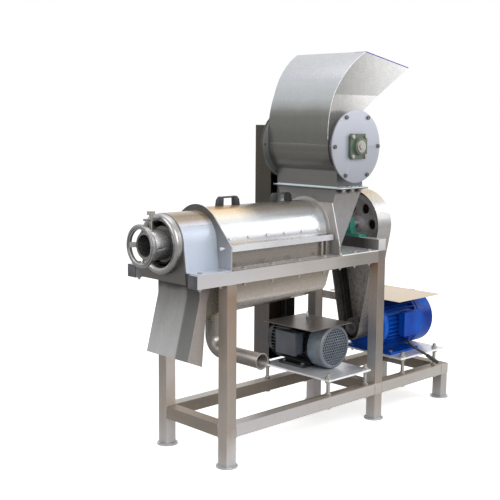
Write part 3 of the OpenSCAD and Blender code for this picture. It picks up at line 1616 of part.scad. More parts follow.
leg_posts();
lower_rails();
top_rails();
rail_end_caps();
foot_plates();
bearing_beam();
deck_plate();
frame_bolts();
plate_studs();
end_plate();
discharge_ring();
discharge_housing();
housing_cover();
lock_screw();
lock_pad();
handwheel();
pressure_sleeve();
pressure_cone();
pomace_chute();
arch_plate();
rear_plate();
barrel_cover();
cover_handles();
cover_bolts();
lower_casing();
juice_screen();
juice_trough();
outlet_pipe();
press_shaft();
press_flight();
press_pulley();
press_bearing();
press_belts();
press_guard();
press_motor_body();
press_motor_cowl();
press_motor_box();
press_motor_rotor();
press_motor_pulley();
press_motor_plate();
press_motor_cover();
power_lead();
lead_sleeve();
feed_chute();
crusher_housing();
hopper();
crusher_covers();
crusher_bearings();
crusher_rotor();
crusher_pulley();
crusher_belts();
crusher_guard();
crusher_motor_body();
crusher_motor_cowl();
crusher_motor_box();
crusher_motor_rotor();
crusher_motor_pulley();
crusher_motor_plate();
crusher_motor_cover();
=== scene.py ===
import bpy
import bmesh
import json
import math
from mathutils import Matrix, Vector

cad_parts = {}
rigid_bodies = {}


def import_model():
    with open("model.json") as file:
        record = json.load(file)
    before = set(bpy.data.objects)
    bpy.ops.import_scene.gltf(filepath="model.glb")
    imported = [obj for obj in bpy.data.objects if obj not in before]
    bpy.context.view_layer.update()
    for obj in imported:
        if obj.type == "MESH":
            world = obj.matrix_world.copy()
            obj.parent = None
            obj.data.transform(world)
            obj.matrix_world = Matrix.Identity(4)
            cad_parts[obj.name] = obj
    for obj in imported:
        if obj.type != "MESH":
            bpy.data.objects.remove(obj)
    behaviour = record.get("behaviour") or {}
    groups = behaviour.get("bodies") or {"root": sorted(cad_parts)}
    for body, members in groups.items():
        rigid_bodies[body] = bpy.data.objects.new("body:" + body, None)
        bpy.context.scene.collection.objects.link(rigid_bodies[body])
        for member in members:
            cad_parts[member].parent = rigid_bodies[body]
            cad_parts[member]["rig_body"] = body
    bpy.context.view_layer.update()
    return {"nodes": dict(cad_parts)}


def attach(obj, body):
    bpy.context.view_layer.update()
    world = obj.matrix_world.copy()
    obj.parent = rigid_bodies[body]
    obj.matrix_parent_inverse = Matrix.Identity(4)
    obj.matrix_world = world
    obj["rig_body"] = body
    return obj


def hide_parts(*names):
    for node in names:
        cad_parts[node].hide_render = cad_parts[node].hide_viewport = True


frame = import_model()
cadNodes = frame["nodes"]
scene = bpy.context.scene
scene.view_settings.view_transform = "Standard"
print("frame loaded:", len(cadNodes), "nodes")

# Camera, fitted to the frame's straight edges
photoView = {
    "place": (-3.1258, -2.8413, 1.3491),
    "yaw": 0.7792,
    "pitch": -0.1293,
    "roll": 0.0103,
    "lens": 68.98,
    "sensor": 36,
    "shift": (-0.0325, -0.0153),
    "clip": (0.05, 80),
}


def makeCamera(view):
    data = bpy.data.cameras.new("photoCamera")
    data.lens, data.sensor_width = view["lens"], view["sensor"]
    data.shift_x, data.shift_y = view["shift"]
    data.clip_start, data.clip_end = view["clip"]
    yaw, pitch, roll = view["yaw"], view["pitch"], view["roll"]
    ahead = Vector((math.sin(yaw) * math.cos(pitch), math.cos(yaw) * math.cos(pitch), math.sin(pitch)))
    level = Vector((math.cos(yaw), -math.sin(yaw), 0))
    rise = level.cross(ahead)
    right = level * math.cos(roll) + rise * math.sin(roll)
    up = rise * math.cos(roll) - level * math.sin(roll)
    camera = bpy.data.objects.new("photoCamera", data)
    camera.matrix_world = Matrix.Translation(view["place"]) @ Matrix((right, up, -ahead)).transposed().to_4x4()
    scene.collection.objects.link(camera)
    scene.camera = camera


makeCamera(photoView)
print("camera placed")


def addObject(name, data):
    made = bpy.data.objects.new(name, data)
    scene.collection.objects.link(made)
    return made


# Power lead of the press motor: out of the gland, down and over the plate's edge to its sleeve
powerLead = {
    "route": [
        (0.493, -0.146, 0.312),
        (0.4935, -0.149, 0.300),
        (0.496, -0.158, 0.288),
        (0.501, -0.173, 0.277),
        (0.509, -0.190, 0.267),
        (0.520, -0.206, 0.257),
        (0.531, -0.216, 0.248),
        (0.541, -0.222, 0.240),
    ],
    "radius": 0.006,
    "steps": 30,
    "fineSteps": 24,
    "roundness": 5,
}


def smoothLine(points, steps, fineSteps):
    # Catmull-Rom through the points, evenly spaced again afterwards
    pts = [Vector(p) for p in points]
    ends = [pts[0] * 2 - pts[1]] + pts + [pts[-1] * 2 - pts[-2]]
    fine = []
    for i in range(len(pts) - 1):
        a, b, c, d = ends[i : i + 4]
        for t in (k / fineSteps for k in range(fineSteps)):
            bend = (2 * a - 5 * b + 4 * c - d) * t * t + (3 * b - a - 3 * c + d) * t**3
            fine.append(0.5 * (2 * b + (c - a) * t + bend))
    fine.append(pts[-1])
    run = [0]
    for a, b in zip(fine, fine[1:]):
        run.append(run[-1] + (b - a).length)
    out, k = [], 0
    for s in [run[-1] * i / steps for i in range(steps + 1)]:
        while k < len(run) - 2 and run[k + 1] < s:
            k += 1
        u = (s - run[k]) / max(run[k + 1] - run[k], 1e-9)
        out.append(fine[k].lerp(fine[k + 1], u))
    return out, run[-1]


def makeLead(lead):
    line, length = smoothLine(lead["route"], lead["steps"], lead["fineSteps"])
    data = bpy.data.curves.new("powerLead", "CURVE")
    data.dimensions = "3D"
    data.bevel_depth = lead["radius"]
    data.bevel_resolution = lead["roundness"]
    data.use_fill_caps = True
    spline = data.splines.new("POLY")
    spline.points.add(len(line) - 1)
    for point, place in zip(spline.points, line):
        point.co = (*place, 1)
    spline.use_smooth = True
    return addObject("powerLead", data), length


leadPiece, leadLength = makeLead(powerLead)
print("lead made,", round(leadLength, 4), "m")


# Node tools
def put(tree, socket, value):
    if isinstance(value, bpy.types.NodeSocket):
        tree.links.new(value, socket)
    else:
        socket.default_value = value


def addNode(tree, kind, values=None, family="ShaderNode", **settings):
    made = tree.nodes.new(family + kind)
    for key, value in settings.items():
        setattr(made, key, value)
    for key, value in (values or {}).items():
        put(tree, made.inputs[key], value)
    return made


def addShape(tree, kind, values=None, **settings):
    return addNode(tree, kind, values, "GeometryNode", **settings)


def addMath(tree, operation, first, second=0.5, clamp=False):
    return addNode(tree, "Math", {0: first, 1: second}, operation=operation, use_clamp=clamp).outputs[0]


def addMix(tree, factor, first, second, blend="MIX"):
    made = addNode(tree, "Mix", data_type="RGBA", blend_type=blend)
    for index, value in ((0, factor), (6, first), (7, second)):
        put(tree, made.inputs[index], value)
    return made.outputs[2]


def addRange(tree, value, low, high, toLow=0.0, toHigh=1.0):
    ends = {"Value": value, "From Min": low, "From Max": high, "To Min": toLow, "To Max": toHigh}
    return addNode(tree, "MapRange", ends).outputs[0]


def addNoise(tree, vector, scale, detail=3.0, rough=0.5):
    values = {"Vector": vector, "Scale": scale, "Detail": detail, "Roughness": rough}
    return addNode(tree, "TexNoise", values).outputs["Fac"]


def splitVector(tree, vector):
    return addNode(tree, "SeparateXYZ", {0: vector}).outputs


def joinVector(tree, **parts):
    return addNode(tree, "CombineXYZ", parts).outputs[0]


def measureVector(tree, vector):
    return addNode(tree, "VectorMath", {0: vector}, operation="LENGTH").outputs["Value"]


# Floor, light and white surroundings
studio = {
    "floorTone": (0.86, 0.86, 0.86, 1),
    "floorGlow": 0.62,
    "floorHalf": 14,
    "surround": 0.52,
    "lamps": [
        # place, aim, size, watts, colour
        ((-1.6, -4.2, 3.4), (0, 0, 0.8), 3.4, 128, (1.0, 0.99, 0.97)),
        ((3.4, -2.6, 2.6), (0.2, 0, 0.8), 2.4, 54, (1.0, 0.98, 0.95)),
        ((-3.8, 1.2, 2.4), (-0.3, 0, 0.8), 2.0, 34, (0.95, 0.97, 1.0)),
        ((0.2, 0.6, 4.6), (0, 0, 0.8), 3.0, 44, (1.0, 1.0, 1.0)),
    ],
}


def clearTree(holder):
    holder.use_nodes = True
    holder.node_tree.nodes.clear()
    return holder.node_tree


def makeSurround(plan):
    # white to the camera and in reflections, dimmer as a light
    scene.world = bpy.data.worlds.new("studioWorld")
    tree = clearTree(scene.world)
    path = addNode(tree, "LightPath").outputs
    seen = addMath(tree, "MAXIMUM", path["Is Camera Ray"], path["Is Glossy Ray"])
    seen = addMath(tree, "MAXIMUM", seen, path["Is Transmission Ray"])
    level = addRange(tree, seen, 0.0, 1.0, plan["surround"], 1.0)
    back = addNode(tree, "Background", {"Color": (1, 1, 1, 1), "Strength": level})
    addNode(tree, "OutputWorld", {"Surface": back.outputs[0]})


def makeLamps(plan):
    for i, (place, aim, size, watts, colour) in enumerate(plan["lamps"]):
        lamp = bpy.data.lights.new("softbox%d" % i, "AREA")
        lamp.shape, lamp.size = "SQUARE", size
        lamp.energy, lamp.color = watts, colour
        turn = (Vector(place) - Vector(aim)).to_track_quat("Z", "Y").to_matrix().to_4x4()
        addObject(lamp.name, lamp).matrix_world = Matrix.Translation(place) @ turn


def makeFloor(plan):
    half = plan["floorHalf"]
    mesh = bpy.data.meshes.new("floor")
    mesh.from_pydata([(-half, -half, 0), (half, -half, 0), (half, half, 0), (-half, half, 0)], [], [(0, 1, 2, 3)])
    floor = addObject("floor", mesh)
    paint = bpy.data.materials.new("floorPaint")
    tree = clearTree(paint)
    path = addNode(tree, "LightPath").outputs
    matt = addNode(tree, "BsdfDiffuse", {"Color": plan["floorTone"]}).outputs[0]
    glow = addNode(tree, "Emission", {"Strength": plan["floorGlow"]}).outputs[0]
    both = addNode(tree, "AddShader", {0: matt, 1: glow}).outputs[0]
    mix = addNode(tree, "MixShader", {0: path["Is Camera Ray"], 1: matt, 2: both})
    addNode(tree, "OutputMaterial", {"Surface": mix.outputs[0]})
    mesh.materials.append(paint)


makeSurround(studio)
makeLamps(studio)
makeFloor(studio)
print("studio lit")


# Colour by place: ramps of tones laid over one another, most of which paint light and shade into the colour: shaded
# sides, darker undersides, reflections and highlights
def tone(red, green, blue):
    # 0 to 255 as seen on a screen, to the shader's scale
    return tuple(((c / 255 + 0.055) / 1.055) ** 2.4 if c > 10 else c / 3295 for c in (red, green, blue)) + (1.0,)


def layer(by, low, high, tones, **more):
    # by: X, Y or Z, or nX, nY or nZ for the slope, run from low to high; each tone is its place
    # from 0 to 1, then red, green and blue
    # facing: only on faces that look that way; within: only where these ways lie between two values,
    # with a soft edge; share: how strongly; wobble: how far the ramp wanders
    return {"by": by, "span": (low, high), "tones": tones, **more}


def steelLook(*layers, **values):
    return {"layers": layers, **values}


def addTones(tree, value, tones):
    made = addNode(tree, "ValToRGB", {"Fac": value})
    ends = made.color_ramp.elements
    for end, (place, *colour) in ((ends[0], tones[0]), (ends[1], tones[-1])):
        end.position, end.color = place, tone(*colour)
    for place, *colour in tones[1:-1]:
        ends.new(place).color = tone(*colour)
    return made.outputs["Color"]


def addAlong(tree, coord, by, low, high, wobble=0.0):
    # how far a point lies from low to high; three numbers as by give a slanted way
    if isinstance(by, tuple):
        slant = addNode(tree, "VectorMath", {0: coord["Object"], 1: by}, operation="DOT_PRODUCT")
        value = addRange(tree, slant.outputs["Value"], low, high)
    else:
        apart = splitVector(tree, coord["Normal" if by[0] == "n" else "Object"])
        value = addRange(tree, apart[by[-1]], low, high)
    if wobble:
        waves = addNoise(tree, coord["Object"], 5.0, 2.0)
        value = addMath(tree, "ADD", value, addRange(tree, waves, 0.3, 0.7, -wobble, wobble), clamp=True)
    return value


def addFacing(tree, coord, way):
    # 1 on the faces that look along way, such as "-Y"
    sign = -1.0 if way[0] == "-" else 1.0
    slope = addMath(tree, "MULTIPLY", splitVector(tree, coord["Normal"])[way[1]], sign)
    return addRange(tree, slope, 0.45, 0.75)


def addLayers(tree, coord, layers):
    colour = None
    for item in layers:
        value = addAlong(tree, coord, item["by"], *item["span"], item.get("wobble", 0.0))
        tones = addTones(tree, value, item["tones"])
        mask = addFacing(tree, coord, item["facing"]) if "facing" in item else None
        for axis, low, high, soft in item.get("within", []):
            rise = addAlong(tree, coord, axis, low - soft, low + soft)
            fall = addAlong(tree, coord, axis, high + soft, high - soft)
            inside = addMath(tree, "MULTIPLY", rise, fall)
            mask = inside if mask is None else addMath(tree, "MULTIPLY", mask, inside)
        if mask is not None and "share" in item:
            mask = addMath(tree, "MULTIPLY", mask, item["share"])
        colour = tones if colour is None else addMix(tree, mask, colour, tones)
    return colour


# Marks that the materials share
def newGroup(name, inputs, outputs):
    tree = bpy.data.node_groups.new(name, "ShaderNodeTree")
    for label, kind, value in inputs:
        made = tree.interface.new_socket(name=label, in_out="INPUT", socket_type="NodeSocket" + kind)
        made.default_value = value
    for label, kind in outputs:
        tree.interface.new_socket(name=label, in_out="OUTPUT", socket_type="NodeSocket" + kind)
    return tree, tree.nodes.new("NodeGroupInput").outputs, tree.nodes.new("NodeGroupOutput").inputs


def makeGrainGroup():
    # Lines left by a belt or a lathe: long soft streaks, and fine scratches for the bump
    tree, enter, leave = newGroup(
        "steelGrain", [("Vector", "Vector", (0, 0, 0))], [("Streak", "Float"), ("Scratch", "Float")]
    )
    streak = addNoise(tree, enter["Vector"], 0.11, 4.0, 0.6)
    put(tree, leave["Streak"], addRange(tree, streak, 0.3, 0.7))
    put(tree, leave["Scratch"], addNoise(tree, enter["Vector"], 1.6, 2.0))
    return tree


def makeTurnGroup():
    # Coordinates of a turned surface: along the axis X, out from it and round it
    tree, enter, leave = newGroup("turnedPlace", [("Vector", "Vector", (0, 0, 0))], [("Place", "Vector")])
    apart = splitVector(tree, enter["Vector"])
    angle = addMath(tree, "ARCTAN2", apart["Y"], apart["Z"])
    out = measureVector(tree, joinVector(tree, Y=apart["Y"], Z=apart["Z"]))
    put(tree, leave["Place"], joinVector(tree, X=apart["X"], Y=out, Z=addMath(tree, "MULTIPLY", angle, 0.02)))
    return tree


def makeSmudgeGroup():
    # Handling marks and dried wash water, in patches of two sizes
    tree, enter, leave = newGroup(
        "smudges", [("Vector", "Vector", (0, 0, 0)), ("Size", "Float", 7.0)], [("Patch", "Float"), ("Spot", "Float")]
    )
    patch = addNoise(tree, enter["Vector"], enter["Size"], 4.0)
    spot = addNoise(tree, enter["Vector"], addMath(tree, "MULTIPLY", enter["Size"], 9.0), 3.0)
    put(tree, leave["Patch"], addRange(tree, patch, 0.35, 0.68))
    put(tree, leave["Spot"], addRange(tree, spot, 0.45, 0.75))
    return tree


def makeDustGroup():
    # Dust that settles where a face looks up
    tree, enter, leave = newGroup(
        "settledDust", [("Vector", "Vector", (0, 0, 0)), ("Normal", "Vector", (0, 0, 1))], [("Mask", "Float")]
    )
    up = addRange(tree, splitVector(tree, enter["Normal"])["Z"], 0.45, 1.0)
    patch = addRange(tree, addNoise(tree, enter["Vector"], 26.0, 5.0, 0.65), 0.38, 0.72)
    put(tree, leave["Mask"], addMath(tree, "MULTIPLY", up, patch, clamp=True))
    return tree


groups = {
    "grain": makeGrainGroup(),
    "turn": makeTurnGroup(),
    "smudge": makeSmudgeGroup(),
    "dust": makeDustGroup(),
}


def placeGroup(tree, key, values):
    return addNode(tree, "Group", values, node_tree=groups[key]).outputs


def newMaterial(name):
    made = bpy.data.materials.new(name)
    tree = clearTree(made)
    shader = addNode(tree, "BsdfPrincipled")
    addNode(tree, "OutputMaterial", {"Surface": shader.outputs[0]})
    return made, tree, shader, addNode(tree, "TexCoord").outputs


def addBump(tree, shader, height, look):
    bump = addNode(tree, "Bump", {"Height": height, "Strength": look["bump"], "Distance": look["deep"]})
    put(tree, shader.inputs["Normal"], bump.outputs[0])


# What each kind of finish has where its look says nothing else
usual = {
    "steel": {
        "across": 420.0, "along": 5.0, "alongRound": 12.0, "patch": 6.0, "warmth": 0.3, "depth": 0.06,
        "spotDepth": 0.7, "metal": 0.55, "rough": 0.34, "polished": 0.06, "scratches": 0.1, "spots": 0.08,
        "bump": 0.1, "deep": 0.0004,
    },
    "paint": {
        "patch": 9.0, "dust": 0.35, "rough": 0.3, "metal": 0.0, "shine": 0.5, "coat": 0.3, "coatRough": 0.2,
        "peel": 420.0, "bump": 0.18, "deep": 0.0006, "spots": 0.16,
    },
    "casting": {
        "patch": 14.0, "rough": 0.5, "metal": 0.35, "grit": 900.0, "bump": 0.4, "deep": 0.0008, "spots": 0.2,
        "stained": 0.45,
    },
    "plastic": {"patch": 18.0, "rough": 0.5, "grit": 1400.0, "bump": 0.2, "deep": 0.0004, "spots": 0.18},
}


def makeSteel(name, look, grain="X", centre=(0, 0, 0)):
    # grain: the axis that the lines run along, or "turnX" for lines round a line along X through centre
    look = {**usual["steel"], **look}
    made, tree, shader, coord = newMaterial(name)
    across, along = look["across"], look["along"]
    if grain == "turnX":
        moved = addNode(tree, "Mapping", {"Vector": coord["Object"], "Location": [-c for c in centre]})
        vector = placeGroup(tree, "turn", {"Vector": moved.outputs[0]})["Place"]
        stretch = (across, across, along * look["alongRound"])
    else:
        vector = coord["Object"]
        stretch = [along if grain == axis else across for axis in "XYZ"]
    lines = addNode(tree, "Mapping", {"Vector": vector, "Scale": stretch})
    marks = placeGroup(tree, "grain", {"Vector": lines.outputs[0]})
    dirt = placeGroup(tree, "smudge", {"Vector": coord["Object"], "Size": look["patch"]})
    scratch, spot = marks["Scratch"], dirt["Spot"]
    colour = addLayers(tree, coord, look["layers"])
    if "warm" in look:
        colour = addMix(tree, addMath(tree, "MULTIPLY", dirt["Patch"], look["warmth"]), colour, tone(*look["warm"]))
    depth = look["depth"]
    shade = addRange(tree, marks["Streak"], 0.0, 1.0, 1.0 - depth, 1.0 + depth)
    shade = addMath(tree, "MULTIPLY", shade, addRange(tree, spot, 0.0, 1.0, 1.0, 1.0 - depth * look["spotDepth"]))
    colour = addMix(tree, 1.0, colour, joinVector(tree, X=shade, Y=shade, Z=shade), "MULTIPLY")
    put(tree, shader.inputs["Base Color"], colour)
    shader.inputs["Metallic"].default_value = look["metal"]
    lined = addMath(tree, "MULTIPLY", scratch, look["scratches"])
    worn = addMath(tree, "ADD", lined, addMath(tree, "MULTIPLY", spot, look["spots"]))
    put(tree, shader.inputs["Roughness"], addMath(tree, "ADD", worn, look["rough"] - look["polished"]))
    addBump(tree, shader, scratch, look)
    return made


def startCoat(name, look):
    # a surface that goes from dark to light in patches, and is rougher in spots
    made, tree, shader, coord = newMaterial(name)
    dirt = placeGroup(tree, "smudge", {"Vector": coord["Object"], "Size": look["patch"]})
    colour = addMix(tree, dirt["Patch"], tone(*look["dark"]), tone(*look["light"]))
    rough = addMath(tree, "ADD", addMath(tree, "MULTIPLY", dirt["Spot"], look["spots"]), look["rough"])
    put(tree, shader.inputs["Roughness"], rough)
    return made, tree, shader, coord, dirt, colour


def makePaint(name, look):
    # Enamel over a casting: orange peel, dust on top and rubbed patches
    look = {**usual["paint"], **look}
    made, tree, shader, coord, dirt, colour = startCoat(name, look)
    dust = placeGroup(tree, "dust", {"Vector": coord["Object"], "Normal": coord["Normal"]})
    share = addMath(tree, "MULTIPLY", dust["Mask"], look["dust"])
    put(tree, shader.inputs["Base Color"], addMix(tree, share, colour, tone(*look["dustTone"])))
    shader.inputs["Metallic"].default_value = look["metal"]
    shader.inputs["Specular IOR Level"].default_value = look["shine"]
    shader.inputs["Coat Weight"].default_value = look["coat"]
    shader.inputs["Coat Roughness"].default_value = look["coatRough"]
    addBump(tree, shader, addNoise(tree, coord["Object"], look["peel"], 2.0), look)
    return made


def makeCasting(name, look):
    # Sand casting: pitted skin with rust-brown patches
    look = {**usual["casting"], **look}
    made, tree, shader, coord, dirt, colour = startCoat(name, look)
    share = addMath(tree, "MULTIPLY", dirt["Spot"], look["stained"])
    put(tree, shader.inputs["Base Color"], addMix(tree, share, colour, tone(*look["stain"])))
    shader.inputs["Metallic"].default_value = look["metal"]
    addBump(tree, shader, addNoise(tree, coord["Object"], look["grit"], 3.0, 0.6), look)
    return made


def makePlastic(name, look):
    # Moulded plastic or rubber: fine even texture, scuffed patches
    look = {**usual["plastic"], **look}
    made, tree, shader, coord, dirt, colour = startCoat(name, look)
    put(tree, shader.inputs["Base Color"], colour)
    cells = addNode(tree, "TexVoronoi", {"Vector": coord["Object"], "Scale": look["grit"]})
    addBump(tree, shader, cells.outputs["Distance"], look)
    return made
